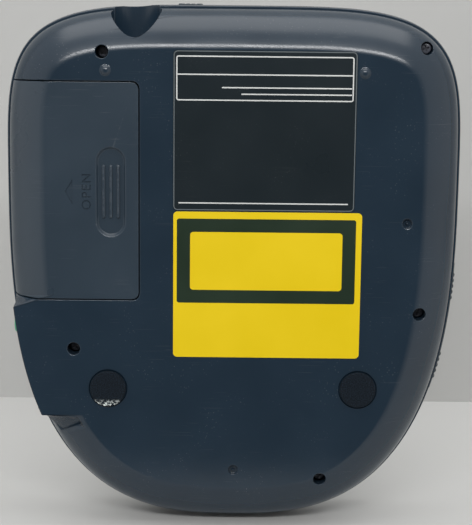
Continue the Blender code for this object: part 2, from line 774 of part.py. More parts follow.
def make_bottom_shell():
    shell = bottom_cup("bottom_shell")
    form = shell_form("bottom_form")
    tubes = uprights("screw_tubes", SCREW_PLACES, TUBE_RADIUS, 0, PARTING_Z - GAP)
    keep_inside(tubes, form)
    join(shell, tubes)
    posts = uprights("damper_posts", LOCATOR_PLACES, POST_RADIUS, FOOT_HEIGHT + WALL / 2, damper_low() - GAP)
    join(shell, posts)
    pins = uprights("damper_pins", LOCATOR_PLACES, PIN_RADIUS, FLOOR_Z, damper_high() + GAP, TINY)
    join(shell, pins)
    add_scoop_wall(shell, "bottom_scoop_wall", shell_form("bottom_scoop_form"))
    build = bmesh.new()
    pip_sphere = (PIP_RADIUS**2 + FOOT_HEIGHT**2) / (2 * FOOT_HEIGHT)
    for x, y in PIP_PLACES:
        bmesh.ops.create_uvsphere(
            build,
            u_segments=TINY,
            v_segments=TINY,
            radius=pip_sphere,
            matrix=Matrix.Translation((x, y, pip_sphere)),
        )
    join(shell, finished("pips", build))
    cut(shell, door_box("door_opening", 0, PARTING_Z + OVERRUN))
    wells = [((x, y, -OVERRUN), (x, y, shelf), SCREW_HOLE_RADIUS) for x, y, shelf in SCREWS]
    cut(shell, rods("screw_wells", wells, SMALL))
    cut(shell, uprights("shank_holes", SCREW_PLACES, SHANK_HOLE_RADIUS, 0, PARTING_Z + OVERRUN, TINY))
    seats = uprights("foot_seats", FOOT_PLACES, FOOT_RADIUS + GAP, -OVERRUN, FOOT_HEIGHT + FOOT_SEAT, ROUND)
    cut(shell, seats)
    cut(shell, uprights("locators", LOCATOR_PLACES, LOCATOR_RADIUS, -OVERRUN, FOOT_HEIGHT + LOCATOR_DEPTH))
    cut_scoop(shell, "bottom_scoop")
    holes = [socket_run(y, COLLAR_RADIUS + GAP, 3 * WALL) for y in (PHONES_Y, LINE_Y)]
    cut(shell, rods("socket_holes", holes))
    return place(shell, "slate_plastic")


def make_battery_door():
    door = bottom_cup("battery_door")
    keep_inside(door, door_box("door_cut", GAP, PARTING_Z + OVERRUN))
    grip_x = DOOR_X0 + GRIP_OFFSET
    grip_y = (DOOR_Y0 + DOOR_Y1) / 2
    half = GRIP_LENGTH / 2 - GRIP_RADIUS
    hollow = slot_outline((grip_x, grip_y - half), (grip_x, grip_y + half), GRIP_RADIUS)
    cut(door, flat("thumb_hollow", hollow, -OVERRUN, FOOT_HEIGHT + GRIP_DEPTH))
    for i in range(GRIP_RIB_COUNT):
        x = grip_x + (i - (GRIP_RIB_COUNT - 1) / 2) * GRIP_RIB_PITCH
        rib_z = FOOT_HEIGHT + GRIP_DEPTH - GRIP_RIB_HEIGHT
        low = (x - GRIP_RIB_WIDTH / 2, grip_y - GRIP_RIB_LENGTH / 2, rib_z)
        high = (x + GRIP_RIB_WIDTH / 2, grip_y + GRIP_RIB_LENGTH / 2, FOOT_HEIGHT + (GRIP_DEPTH + WALL) / 2)
        join(door, box(f"thumb_rib_{i + 1}", low, high))
    tab_z = FLOOR_Z + GAP
    for side, end, edge in (("front", -1, DOOR_Y0 + GAP), ("back", 1, DOOR_Y1 - GAP)):
        outer, root, inner = edge + end * TAB_REACH, edge - end * GAP, edge - end * TAB_ROOT
        for number in range(TAB_COUNT):
            x = DOOR_X0 + TAB_START + number * TAB_PITCH
            low = (x, min(outer, inner), tab_z)
            high = (x + TAB_LENGTH, max(outer, inner), tab_z + TAB_THICKNESS)
            join(door, box(f"{side}_tab_{number + 1}", low, high))
            low = (x, min(root, inner), FLOOR_Z - WALL / 3)
            high = (x + TAB_LENGTH, max(root, inner), tab_z + TAB_THICKNESS / 2)
            join(door, box(f"{side}_tab_root_{number + 1}", low, high))
    set_origin(door, (DOOR_X0, grip_y, FOOT_HEIGHT))
    place(door, "door_plastic")


def make_feet():
    for name, (x, y) in zip(("foot_left", "foot_right"), FOOT_PLACES):
        top = FOOT_HEIGHT + FOOT_SEAT - GAP
        profile = (
            (0, top),
            (FOOT_RADIUS, top),
            (FOOT_RADIUS, FOOT_EDGE),
            (FOOT_RADIUS - FOOT_EDGE, 0),
            (0, 0),
        )
        foot = turned(name, profile, ROUND)
        foot.location = (x, y, 0)
        place(foot, "foot_rubber")


def make_screws():
    for number, (x, y, shelf) in enumerate(SCREWS, 1):
        profile = (
            (0, SCREW_LENGTH),
            (SCREW_SHANK_RADIUS, SCREW_LENGTH),
            (SCREW_SHANK_RADIUS, 0),
            (SCREW_HEAD_RADIUS, 0),
            (SCREW_HEAD_RADIUS, -SCREW_HEAD_HEIGHT),
            (0, -SCREW_HEAD_HEIGHT),
        )
        screw = turned(f"case_screw_{number}", profile, TINY)
        screw.location = (x, y, shelf - GAP)
        place(screw, "black_screw")


def dome_rings(low, offset=0.0, steps=LID_ROLL_STEPS):
    """Rings of the lid's and strip's shared outer form, or of its inside at a given offset."""
    rings = [ring_at(LID_EDGE_INSET + offset, low)]
    side_top = LID_Z + LID_SIDE_HEIGHT
    for angle in spread(0, math.pi / 2, steps):
        inset = LID_EDGE_INSET + LID_ROLL_WIDTH - (LID_ROLL_WIDTH - offset) * math.cos(angle)
        rings.append(ring_at(inset, side_top + (LID_ROLL_HEIGHT - offset) * math.sin(angle)))
    rim = rings[-1]
    for share in LID_CROWN_SHARES:
        rise = LID_CROWN * (1 - (1 - share) ** 2)
        rings.append([(x * (1 - share), y * (1 - share), z + rise) for x, y, z in rim])
    return rings


def barrel(name, radius, half_length):
    run = ((-half_length, HINGE_Y, HINGE_Z), (half_length, HINGE_Y, HINGE_Z), radius)
    return rods(name, [run], ROUND)


def ear_centres():
    return (-EAR_X, EAR_X)


def make_lid():
    lid = skin("lid_cover", dome_rings(LID_Z))
    tall = LID_Z + LID_SIDE_HEIGHT + LID_ROLL_HEIGHT + LID_CROWN + OVERRUN
    front = box(
        "lid_front_region",
        (-HALF_WIDTH - OVERRUN, FRONT_Y - OVERRUN, LID_Z - OVERRUN),
        (HALF_WIDTH + OVERRUN, HINGE_Y, tall),
    )
    join(front, barrel("lid_barrel_region", BARREL_RADIUS, HALF_WIDTH + OVERRUN))
    keep_inside(lid, front)
    hollow = skin("lid_hollow", dome_rings(LID_Z - OVERRUN, LID_WALL, LID_INNER_STEPS))
    keep_inside(
        hollow,
        box(
            "lid_hollow_region",
            (-HALF_WIDTH, FRONT_Y - OVERRUN, LID_Z - 2 * OVERRUN),
            (HALF_WIDTH, HINGE_Y - EAR_RADIUS - NOTCH_DEPTH / 2, tall),
        ),
    )
    cut(lid, hollow)
    half = EAR_WIDTH / 2 + GAP
    for number, x in enumerate(ear_centres(), 1):
        low = (x - half, HINGE_Y - EAR_RADIUS - NOTCH_DEPTH, LID_Z - OVERRUN)
        high = (x + half, HINGE_Y + 2 * BARREL_RADIUS, tall)
        cut(lid, box(f"ear_notch_{number}", low, high))
    pin_half = HINGE_PIN_LENGTH / 2 + GAP
    bores = [
        ((x - pin_half, HINGE_Y, HINGE_Z), (x + pin_half, HINGE_Y, HINGE_Z), HINGE_PIN_RADIUS + GAP)
        for x in ear_centres()
    ]
    cut(lid, rods("lid_pin_bores", bores))
    add_latch_hook(lid)
    set_origin(lid, (0, HINGE_Y, HINGE_Z))
    return place(lid, "silver_paint")


def add_latch_hook(lid):
    shank_y = FRONT_Y + HOOK_INSET
    half = HOOK_WIDTH / 2
    root_low = DECK_Z + RUN
    root_high = root_low + LID_WALL
    root = box(
        "hook_root",
        (-half, FRONT_Y + LID_EDGE_INSET + LID_WALL / 2, root_low),
        (half, shank_y + HOOK_ROOT_REACH, root_high),
    )
    shank = box("hook_shank", (-half, shank_y, HOOK_LOW_Z), (half, shank_y + HOOK_THICKNESS, root_high - GAP))
    nose = box(
        "hook_nose",
        (-half, shank_y + HOOK_THICKNESS / 2, HOOK_LOW_Z),
        (half, shank_y + HOOK_THICKNESS + NOSE_REACH, HOOK_LOW_Z + NOSE_HEIGHT),
    )
    for piece in (root, shank, nose):
        join(lid, piece)


def make_lid_liner(lid):
    low = SEAT_Z + DISC_THICKNESS + LINER_CLEARANCE
    high = low + LINER_THICKNESS
    profile = (
        (0, high),
        (LINER_RADIUS, high),
        (LINER_RADIUS, low),
        (LINER_RING_RADIUS + LINER_THICKNESS, low),
        (LINER_RING_RADIUS + LINER_THICKNESS, low - LINER_RING_HEIGHT),
        (LINER_RING_RADIUS, low - LINER_RING_HEIGHT),
        (LINER_RING_RADIUS, low),
        (0, low),
    )
    liner = turned("lid_liner", profile, FINE)
    liner.location = (0, DISC_Y - HINGE_Y, -HINGE_Z)
    place(liner, "dark_plastic", lid)


def make_hinge_pins():
    for name, x in zip(("hinge_pin_right", "hinge_pin_left"), ear_centres()):
        half = HINGE_PIN_LENGTH / 2
        pin = rods(name, [((x - half, HINGE_Y, HINGE_Z), (x + half, HINGE_Y, HINGE_Z), HINGE_PIN_RADIUS)])
        place(pin, "steel")


def base_rings(inset):
    """Side of the upper case, from its lower rim to the lid's shoulder."""
    return [
        ring_at(BELT_INSET + inset, PARTING_Z + GAP),
        ring_at(inset, PARTING_Z + BELT_RISE),
        ring_at(inset, PARTING_Z + BELT_RISE + BELT_HEIGHT),
        ring_at(SHOULDER_INSET + inset, SHOULDER_Z),
    ]


def strip_x(keys, centre, index):
    return centre + (index - (len(keys) - 1) / 2) * KEY_PITCH


def key_places():
    """Name and x of every key."""
    for keys, centre in ((LEFT_KEYS, LEFT_KEYS_X), (RIGHT_KEYS, RIGHT_KEYS_X)):
        for index, name in enumerate(keys):
            yield name, strip_x(keys, centre, index)


KEY_Y = STRIP_FRONT_Y + POCKET_FRONT + POCKET_DEPTH / 2


def pocket_box(name, keys, centre):
    half = KEY_PITCH * len(keys) / 2
    low = (centre - half, KEY_Y - POCKET_DEPTH / 2, POCKET_Z)
    high = (centre + half, KEY_Y + POCKET_DEPTH / 2, POCKET_Z + STRIP_ROOF_RISE)
    return box(name, low, high, POCKET_CORNER, vertical_only=True)


def window_box(name, gap, low, high):
    half_width = DISPLAY_WIDTH / 2 - gap
    half_depth = POCKET_DEPTH / 2 - gap
    return box(
        name,
        (DISPLAY_X - half_width, KEY_Y - half_depth, low),
        (DISPLAY_X + half_width, KEY_Y + half_depth, high),
        POCKET_CORNER,
        vertical_only=True,
    )


def add_strip(case):
    """Fixed strip behind the lid, for keys and display."""
    neck = [ring_at(STRIP_NECK_INSET, z) for z in (SHOULDER_Z - SHOULDER_RISE / 2, LID_Z)]
    strip = skin("control_strip", neck + dome_rings(LID_Z))
    region = box(
        "strip_region",
        (-HALF_WIDTH - OVERRUN, STRIP_FRONT_Y, SHOULDER_Z - OVERRUN),
        (HALF_WIDTH + OVERRUN, BACK_Y + OVERRUN, POCKET_Z + STRIP_ROOF_RISE + OVERRUN),
    )
    keep_inside(strip, region)
    join(case, strip)


def add_ears(case):
    half = EAR_WIDTH / 2
    for number, x in enumerate(ear_centres(), 1):
        ends = ((x - half, HINGE_Y, HINGE_Z), (x + half, HINGE_Y, HINGE_Z))
        round_part = rods(f"ear_{number}", [(*ends, EAR_RADIUS)])
        foot = box(
            f"ear_foot_{number}",
            (x - half + GAP / 3, HINGE_Y - EAR_RADIUS, SHOULDER_Z - SHOULDER_RISE / 2),
            (x + half - GAP / 3, STRIP_FRONT_Y + EAR_RADIUS, HINGE_Z),
        )
        join(case, foot)
        join(case, round_part)


def cut_case_hollow(case):
    hollow = skin(
        "case_hollow",
        [
            ring_at(SKIRT_WALL + BELT_INSET, PARTING_Z - OVERRUN),
            ring_at(SKIRT_WALL + BELT_INSET, PARTING_Z + BELT_RISE),
            ring_at(SKIRT_WALL + SHOULDER_INSET, DECK_ROOF_Z),
        ],
    )
    wall_run = scoop_run(SCOOP_RADIUS + SCOOP_WALL, SCOOP_END_Y - SCOOP_WALL)
    scoop_wall = rods("scoop_wall_keep", [wall_run], ROUND)
    cut(hollow, scoop_wall)
    cut(case, hollow)
    strip_hollow = skin("strip_hollow", dome_rings(PARTING_Z, SKIRT_WALL + GAP, LID_INNER_STEPS))
    keep_inside(
        strip_hollow,
        box(
            "strip_hollow_region",
            (-HALF_WIDTH, STRIP_FRONT_Y + SKIRT_WALL, DECK_ROOF_Z - RUN),
            (HALF_WIDTH, BACK_Y, STRIP_ROOF_Z),
        ),
    )
    cut(case, strip_hollow)


def cut_well(case):
    well = uprights("disc_well", [(0, DISC_Y)], WELL_RADIUS, WELL_Z, DECK_Z + OVERRUN, FINE)
    cut(case, well)
    frame = mechanism_matrix()
    hole = uprights("turntable_hole", [(0, DISC_Y)], MECH_WINDOW_RADIUS, DECK_ROOF_Z - RUN, DECK_Z, ROUND)
    cut(case, hole)
    window = box(
        "pickup_window",
        (0, -MECH_WINDOW_HALF, DECK_ROOF_Z - OVERRUN),
        (MECH_WINDOW_END, MECH_WINDOW_HALF, DECK_Z),
        MECH_WINDOW_CORNER,
        vertical_only=True,
    )
    window.data.transform(frame)
    cut(case, window)


def cut_lip_and_trough(case):
    """Raised deck inside the lid's edge, ending ahead of the hinge."""
    lip_outline = [(x, y) for x, y, _ in ring_at(LIP_INSET, 0)]
    lip = flat("deck_lip", lip_outline, SHOULDER_Z - SHOULDER_RISE / 2, DECK_Z)
    trough = box(
        "hinge_trough",
        (-HALF_WIDTH, HINGE_Y - EAR_RADIUS - 2 * NOTCH_DEPTH - 2 * BARREL_GAP, SHOULDER_Z - OVERRUN),
        (HALF_WIDTH, BACK_Y + OVERRUN, DECK_Z + OVERRUN),
    )
    cut(lip, trough)
    join(case, lip)


def button_outline(inset, half_width):
    """Front edge of the plan outline, between two x limits, set in by a given depth."""
    points = []
    for step in range(-BUTTON_STEPS, BUTTON_STEPS + 1):
        share = step / BUTTON_STEPS
        x = half_width * share
        depth = (1 - (abs(x) / HALF_WIDTH) ** FRONT_POWER) ** (1 / FRONT_POWER)
        points.append((x, WIDEST_Y - (WIDEST_Y - FRONT_Y) * depth + inset))
    return points


def cut_front_openings(case):
    low = (-BUTTON_HALF_WIDTH - GAP, FRONT_Y - OVERRUN, BUTTON_LOW_Z - GAP)
    high = (BUTTON_HALF_WIDTH + GAP, FRONT_Y + SKIRT_WALL + OVERRUN, BUTTON_LOW_Z + BUTTON_HEIGHT + GAP)
    cut(case, box("button_window", low, high))
    half = HOOK_WIDTH / 2 + RUN
    low = (-half, FRONT_Y + LIP_INSET - RUN, DECK_ROOF_Z - OVERRUN)
    high = (half, FRONT_Y + HOOK_INSET + HOOK_THICKNESS + NOSE_REACH + RUN, DECK_Z + OVERRUN)
    cut(case, box("hook_slot", low, high))


def cut_strip_openings(case):
    for name, keys, centre in (("left", LEFT_KEYS, LEFT_KEYS_X), ("right", RIGHT_KEYS, RIGHT_KEYS_X)):
        cut(case, pocket_box(f"{name}_key_pocket", keys, centre))
    stems = [(x, KEY_Y) for _, x in key_places()]
    low, high = STRIP_ROOF_Z - OVERRUN, POCKET_Z + OVERRUN
    cut(case, uprights("stem_holes", stems, KEY_STEM_RADIUS + GAP, low, high, TINY))
    cut(case, window_box("display_seat", 0, POCKET_Z, POCKET_Z + OVERRUN))
    cut(case, window_box("display_hole", DISPLAY_BORDER, STRIP_ROOF_Z - OVERRUN, POCKET_Z + OVERRUN))


def cut_hold_slot(case):
    width = HOLD_WIDTH + HOLD_TRAVEL
    low_z, high_z = HOLD_Z - HOLD_HEIGHT / 2 - GAP, HOLD_Z + HOLD_HEIGHT / 2 + GAP
    low = (HOLD_X - width / 2 - GAP, BACK_Y - HOLD_SINK, low_z)
    high = (HOLD_X + width / 2 + GAP, BACK_Y + OVERRUN, high_z)
    cut(case, box("hold_recess", low, high))
    width = HOLD_STEM_WIDTH + HOLD_TRAVEL
    half = HOLD_STEM_HEIGHT / 2 + GAP
    low = (HOLD_X - width / 2 - GAP, BACK_Y - 2 * SKIRT_WALL, HOLD_Z - half)
    high = (HOLD_X + width / 2 + GAP, BACK_Y + OVERRUN, HOLD_Z + half)
    cut(case, box("hold_slot", low, high))


def side_strip(y0, y1, inset, steps):
    """Points along the -X side of the outline, from back to front."""
    points = []
    for y in spread(y0, y1, steps):
        point, outward = outline_station(angle_at(y), -1, -1)
        points.append(tuple(point - outward * inset))
    return points


def cut_grip_seat(case):
    ends = (SIDE_GRIP_BACK_Y + GAP, SIDE_GRIP_FRONT_Y - GAP)
    inner = side_strip(*ends, SIDE_GRIP_SEAT, SIDE_RIB_COUNT)
    outer = side_strip(*ends, -OVERRUN, SIDE_RIB_COUNT)
    low, high = SIDE_GRIP_LOW_Z - GAP, SIDE_GRIP_LOW_Z + SIDE_GRIP_HEIGHT + GAP
    cut(case, flat("grip_seat", outer + inner[::-1], low, high))


def add_case_bosses(case):
    """Screw bosses and board posts under the deck, with their blind bores."""
    bosses = uprights("screw_bosses", SCREW_PLACES, TUBE_RADIUS, PARTING_Z + GAP, DECK_ROOF_Z + RUN)
    keep_inside(bosses, skin("boss_form", [ring_at(SKIRT_WALL, z) for z in (PARTING_Z, POCKET_Z)]))
    join(case, bosses)
    low = PARTING_Z - OVERRUN
    bores = [((x, y, low), (x, y, shelf + SCREW_LENGTH), SHANK_HOLE_RADIUS) for x, y, shelf in SCREWS]
    cut(case, rods("boss_bores", bores, TINY))
    places = [(x, KEY_Y) for x in BOARD_POST_PLACES_X]
    posts = uprights("board_posts", places, BOARD_POST_RADIUS, board_high() + GAP, STRIP_ROOF_Z + RUN)
    join(case, posts)


def make_upper_case():
    case = skin("upper_case", base_rings(0))
    cut_lip_and_trough(case)
    add_strip(case)
    add_ears(case)
    cut_case_hollow(case)
    add_case_bosses(case)
    cut_well(case)
    cut_front_openings(case)
    cut_strip_openings(case)
    cut_hold_slot(case)
    cut_grip_seat(case)
    cut_scoop(case, "upper_scoop")
    pin_half = HINGE_PIN_LENGTH / 2 + GAP
    bores = [
        ((x - pin_half, HINGE_Y, HINGE_Z), (x + pin_half, HINGE_Y, HINGE_Z), HINGE_PIN_RADIUS + GAP)
        for x in ear_centres()
    ]
    cut(case, rods("ear_bores", bores))
    return place(case, "slate_plastic")


def make_side_grip():
    ends = (SIDE_GRIP_BACK_Y, SIDE_GRIP_FRONT_Y)
    inner = side_strip(*ends, SIDE_GRIP_SEAT - GAP, SIDE_RIB_COUNT)
    outer = []
    rib_starts = []
    for end, step in ((SIDE_GRIP_BACK_Y - SIDE_RIB_MARGIN, -1), (SIDE_GRIP_FRONT_Y + SIDE_RIB_MARGIN, 1)):
        rib_starts += [end + step * SIDE_RIB_PITCH * i for i in range(SIDE_RIB_COUNT)]
    levels = [(SIDE_GRIP_BACK_Y, SIDE_GRIP_PROUD)]
    for y in sorted(rib_starts, reverse=True):
        half = SIDE_RIB_PITCH / 4
        levels += [
            (y + half + GAP, SIDE_GRIP_PROUD),
            (y + half, SIDE_RIB_PROUD),
            (y - half, SIDE_RIB_PROUD),
            (y - half - GAP, SIDE_GRIP_PROUD),
        ]
    levels.append((SIDE_GRIP_FRONT_Y, SIDE_GRIP_PROUD))
    for y, proud in levels:
        point, outward = outline_station(angle_at(y), -1, -1)
        outer.append(tuple(point + outward * proud))
    low = SIDE_GRIP_LOW_Z
    place(flat("side_grip", outer + inner[::-1], low, low + SIDE_GRIP_HEIGHT), "grip_rubber")


def make_open_button():
    """Curved push at the front with two arms that carry the latch bar behind the hook."""
    outer = button_outline(0, BUTTON_HALF_WIDTH)
    inner = button_outline(BUTTON_THICKNESS, BUTTON_HALF_WIDTH)
    top = BUTTON_LOW_Z + BUTTON_HEIGHT
    button = flat("open_button", outer + inner[::-1], BUTTON_LOW_Z, top)
    nose_y = FRONT_Y + HOOK_INSET + HOOK_THICKNESS + NOSE_REACH
    bar_front = nose_y + RUN
    arm_low = top - LATCH_ARM_HEIGHT - GAP
    for side in (-1, 1):
        edges = sorted((side * LATCH_SPAN / 2, side * (LATCH_SPAN / 2 + LATCH_ARM_WIDTH)))
        low = (edges[0], FRONT_Y + BUTTON_THICKNESS / 2, arm_low)
        high = (edges[1], bar_front + LATCH_BAR_DEPTH, arm_low + LATCH_ARM_HEIGHT)
        join(button, box(f"latch_arm_{'left' if side > 0 else 'right'}", low, high))
    low = (-LATCH_SPAN / 2 - GAP, bar_front, arm_low + GAP / 3)
    high = (LATCH_SPAN / 2 + GAP, bar_front + LATCH_BAR_DEPTH - GAP / 3, arm_low + LATCH_ARM_HEIGHT - GAP / 3)
    join(button, box("latch_bar", low, high))
    set_origin(button, (0, FRONT_Y, BUTTON_LOW_Z + BUTTON_HEIGHT / 2))
    place(button, "silver_paint")


def make_keys():
    half_x = KEY_WIDTH / 2
    half_y = POCKET_DEPTH / 2 - GAP
    low = POCKET_Z + KEY_TRAVEL + GAP
    stem_low = board_high() + SWITCH_HEIGHT + KEY_TRAVEL + GAP
    for name, x in key_places():
        key = box(name, (-half_x, -half_y, 0), (half_x, half_y, KEY_HEIGHT), KEY_ROUND, segments=1)
        key.location = (x, KEY_Y, low)
        stem = uprights(f"{name}_stem", [(x, KEY_Y)], KEY_STEM_RADIUS, stem_low, low + KEY_HEIGHT / 2, TINY)
        join(key, stem)
        place(key, "key_plastic")


def board_high():
    return STRIP_ROOF_Z - DISPLAY_DEPTH


def make_key_board():
    high = board_high()
    low = high - BOARD_THICKNESS
    half = HALF_WIDTH - BOARD_END_MARGIN
    reach = POCKET_DEPTH / 2 - BOARD_EDGE
    board = box("key_board", (-half, KEY_Y - reach, low), (half, KEY_Y + reach, high))
    for name, x in key_places():
        reach = SWITCH_WIDTH / 2
        low_corner = (x - reach, KEY_Y - reach, high - BOARD_THICKNESS / 2)
        join(board, box(f"{name}_switch", low_corner, (x + reach, KEY_Y + reach, high + SWITCH_HEIGHT)))
    cut(board, uprights("board_boss_holes", SCREW_PLACES, TUBE_RADIUS + RUN, low - OVERRUN, high + OVERRUN))
    place(board, "board_green")


def make_display():
    window_low = POCKET_Z + GAP
    place(window_box("display_window", GAP, window_low, window_low + WINDOW_THICKNESS), "clear_window")
    low = board_high() + GAP
    place(window_box("display_module", DISPLAY_BORDER + GAP, low, POCKET_Z), "display_grey")


def make_hold_switch():
    half = HOLD_WIDTH / 2
    x = HOLD_X - HOLD_TRAVEL / 2
    face = BACK_Y - HOLD_SINK + GAP
    low = (x - half, face, HOLD_Z - HOLD_HEIGHT / 2)
    knob = box("hold_switch", low, (x + half, BACK_Y + HOLD_PROUD, HOLD_Z + HOLD_HEIGHT / 2), GAP, segments=1)
    inner = BACK_Y - SKIRT_WALL - SHOULDER_INSET - RUN
    half = HOLD_STEM_WIDTH / 2
    low = (x - half, inner - HOLD_FLANGE / 2, HOLD_Z - HOLD_STEM_HEIGHT / 2)
    join(knob, box("hold_stem", low, (x + half, face + GAP, HOLD_Z + HOLD_STEM_HEIGHT / 2)))
    low = (x - HOLD_WIDTH / 2, inner - HOLD_FLANGE, HOLD_Z - HOLD_HEIGHT / 2)
    high = (x + HOLD_WIDTH / 2, inner, HOLD_Z + HOLD_HEIGHT / 2)
    join(knob, box("hold_flange", low, high))
    set_origin(knob, (x, BACK_Y, HOLD_Z))
    place(knob, "grip_rubber")


def make_socket(name, y, finish, proud):
    """Socket body on the board and a collar that shows in the jack panel."""
    half = SOCKET_BODY_WIDTH / 2
    wall_x = panel_wall_x(y)
    body_x = panel_wall_x(y - half) - PANEL_DRAFT - WALL - 2 * GAP
    low_z = PCB_Z + PCB_THICKNESS + GAP
    body = box(
        f"{name}_socket",
        (body_x - SOCKET_BODY_LENGTH, y - half, low_z),
        (body_x, y + half, low_z + SOCKET_BODY_HEIGHT),
    )
    bore_ends = ((body_x - SOCKET_BODY_LENGTH + WALL, y, SOCKET_Z), (body_x + OVERRUN, y, SOCKET_Z))
    bore = [(*bore_ends, SOCKET_BORE_RADIUS)]
    cut(body, rods(f"{name}_bore", bore))
    place(body, "dark_plastic")
    end_x = wall_x + proud
    profile = (
        (COLLAR_RADIUS - GAP, 0),
        (COLLAR_RADIUS, -GAP),
        (COLLAR_RADIUS, body_x + GAP - end_x),
        (SOCKET_BORE_RADIUS, body_x + GAP - end_x),
        (SOCKET_BORE_RADIUS, 0),
    )
    collar = turned(f"{name}_collar", profile, SMALL)
    collar.location = (end_x, y, SOCKET_Z)
    collar.rotation_euler = (0, math.pi / 2, 0)
    place(collar, finish)


def make_dc_socket():
    half = DC_SIZE / 2
    end = SCOOP_END_Y - SCOOP_WALL - GAP
    low_z = PCB_Z + PCB_THICKNESS + GAP
    body = box("dc_socket", (SCOOP_X - half, end - DC_LENGTH, low_z), (SCOOP_X + half, end, SCOOP_Z + half))
    nose = [((SCOOP_X, end - WALL, SCOOP_Z), (SCOOP_X, SCOOP_END_Y - GAP, SCOOP_Z), DC_NOSE_RADIUS)]
    join(body, rods("dc_nose", nose))
    front = SCOOP_END_Y + OVERRUN
    bore = [((SCOOP_X, front - DC_BORE_DEPTH, SCOOP_Z), (SCOOP_X, front, SCOOP_Z), DC_BORE_RADIUS)]
    cut(body, rods("dc_bore", bore))
    pin_ends = ((SCOOP_X, front - DC_BORE_DEPTH - WALL, SCOOP_Z), (SCOOP_X, SCOOP_END_Y - WALL, SCOOP_Z))
    pin = [(*pin_ends, DC_PIN_RADIUS)]
    join(body, rods("dc_pin", pin, TINY))
    place(body, "dark_plastic")


def make_main_board():
    points = [(x, y) for x, y, _ in ring_at(PCB_INSET, 0)][::2]
    high = PCB_Z + PCB_THICKNESS
    board = flat("main_board", points, PCB_Z, high)
    low = (BAY_X0 - RUN, DOOR_Y0 - TAB_REACH - RUN, PCB_Z - OVERRUN)
    cut(board, box("board_bay_cut", low, (HALF_WIDTH, DOOR_Y1 + TAB_REACH + RUN, high + OVERRUN)))
    half = SCOOP_RADIUS + SCOOP_WALL + RUN
    low = (SCOOP_X - half, SCOOP_END_Y - SCOOP_WALL - RUN, PCB_Z - OVERRUN)
    cut(board, box("board_scoop_cut", low, (SCOOP_X + half, BACK_Y, high + OVERRUN)))
    low_z, high_z = PCB_Z - OVERRUN, high + OVERRUN
    cut(board, uprights("board_tube_holes", SCREW_PLACES, TUBE_RADIUS + RUN, low_z, high_z))
    cut(board, uprights("board_post_holes", LOCATOR_PLACES, POST_RADIUS + RUN, low_z, high_z))
    place(board, "board_green")


def make_battery_case():
    roof = BAY_ROOF_Z
    case = box("battery_case", (BAY_X0, BAY_Y0, BAY_Z0), (BAY_X1, BAY_Y1, roof))
    low = (BAY_X0 + BAY_WALL, BAY_Y0 + BAY_WALL, BAY_Z0 - OVERRUN)
    cut(case, box("cell_room", low, (BAY_X1 - BAY_WALL, BAY_Y1 - BAY_WALL, roof - BAY_WALL)))
    low = (HALF_WIDTH - BAY_LOW_MARGIN, BAY_Y0 - OVERRUN, BAY_Z0 - OVERRUN)
    high = (BAY_X1 + OVERRUN, BAY_Y1 + OVERRUN, PARTING_Z + GAP)
    cut(case, box("bay_low_side", low, high))
    place(case, "slate_plastic")


def make_contacts():
    """Plate at each end of the bay, with a nub for one cell and a coil spring for the other."""
    x0, x1 = BAY_X0 + BAY_WALL + GAP, HALF_WIDTH - BAY_LOW_MARGIN - GAP
    low_z, high_z = CELL_Z - CONTACT_HEIGHT / 2, CELL_Z + CONTACT_HEIGHT / 2
    ends = (
        ("front", BAY_Y0 + BAY_WALL + GAP, 1, CELL_1_X, CELL_2_X),
        ("back", BAY_Y1 - BAY_WALL - GAP, -1, CELL_2_X, CELL_1_X),
    )
    for name, wall_y, inward, spring_x, nub_x in ends:
        face = wall_y + inward * CONTACT_THICKNESS
        plate = box(f"{name}_contact", (x0, min(wall_y, face), low_z), (x1, max(wall_y, face), high_z))
        nub_ends = (
            (nub_x, wall_y + inward * GAP / 3, CELL_Z),
            (nub_x, face + inward * CONTACT_NUB_HEIGHT, CELL_Z),
        )
        nub = [(*nub_ends, CONTACT_NUB_RADIUS)]
        join(plate, rods(f"{name}_nub", nub))
        place(plate, "steel")
        make_spring(f"{name}_spring", (spring_x, face + inward * (GAP + SPRING_WIRE_RADIUS), CELL_Z), inward)


def spring_points(inward):
    """Tapering coil along Y, from its wide end."""
    count = SPRING_TURNS * SPRING_POINTS_PER_TURN
    for i in range(count + 1):
        share = i / count
        angle = 2 * math.pi * i / SPRING_POINTS_PER_TURN
        radius = SPRING_BASE_RADIUS + (SPRING_TIP_RADIUS - SPRING_BASE_RADIUS) * share
        along = inward * SPRING_TURNS * SPRING_PITCH * share
        yield Vector((radius * math.cos(angle), along, radius * math.sin(angle)))


def make_spring(name, base, inward):
    points = list(spring_points(inward))
    turn = SPRING_POINTS_PER_TURN
    least = min(
        (points[i] - points[j]).length
        for i in range(len(points))
        for j in range(i + turn // 2, len(points))
    )
    print(f"{name}: least gap between curls {(least - 2 * SPRING_WIRE_RADIUS) / MM:.2f} mm")
    curve = bpy.data.curves.new(name, "CURVE")
    curve.dimensions = "3D"
    curve.bevel_depth = SPRING_WIRE_RADIUS
    curve.bevel_resolution = 1
    curve.use_fill_caps = True
    spline = curve.splines.new("POLY")
    spline.points.add(len(points) - 1)
    for point, place_on in zip(spline.points, points):
        point.co = (*place_on, 1)
    place(meshed(name, curve, Matrix.Translation(base)), "steel")


def mechanism_matrix():
    turn = Matrix.Rotation(math.radians(TRAVEL_DEGREES), 4, "Z")
    return Matrix.Translation((0, DISC_Y, 0)) @ turn


def in_mechanism(place_xy):
    """A world plan position in the mechanism's own frame."""
    x, y, _ = mechanism_matrix().inverted() @ Vector((*place_xy, 0))
    return x, y


def damper_low():
    return CHASSIS_Z + CHASSIS_THICKNESS / 2 - DAMPER_HEIGHT / 2


def damper_high():
    return damper_low() + DAMPER_HEIGHT


def gear_centre():
    return Vector((GEAR_PLACE, GEAR_SIDE, 0))


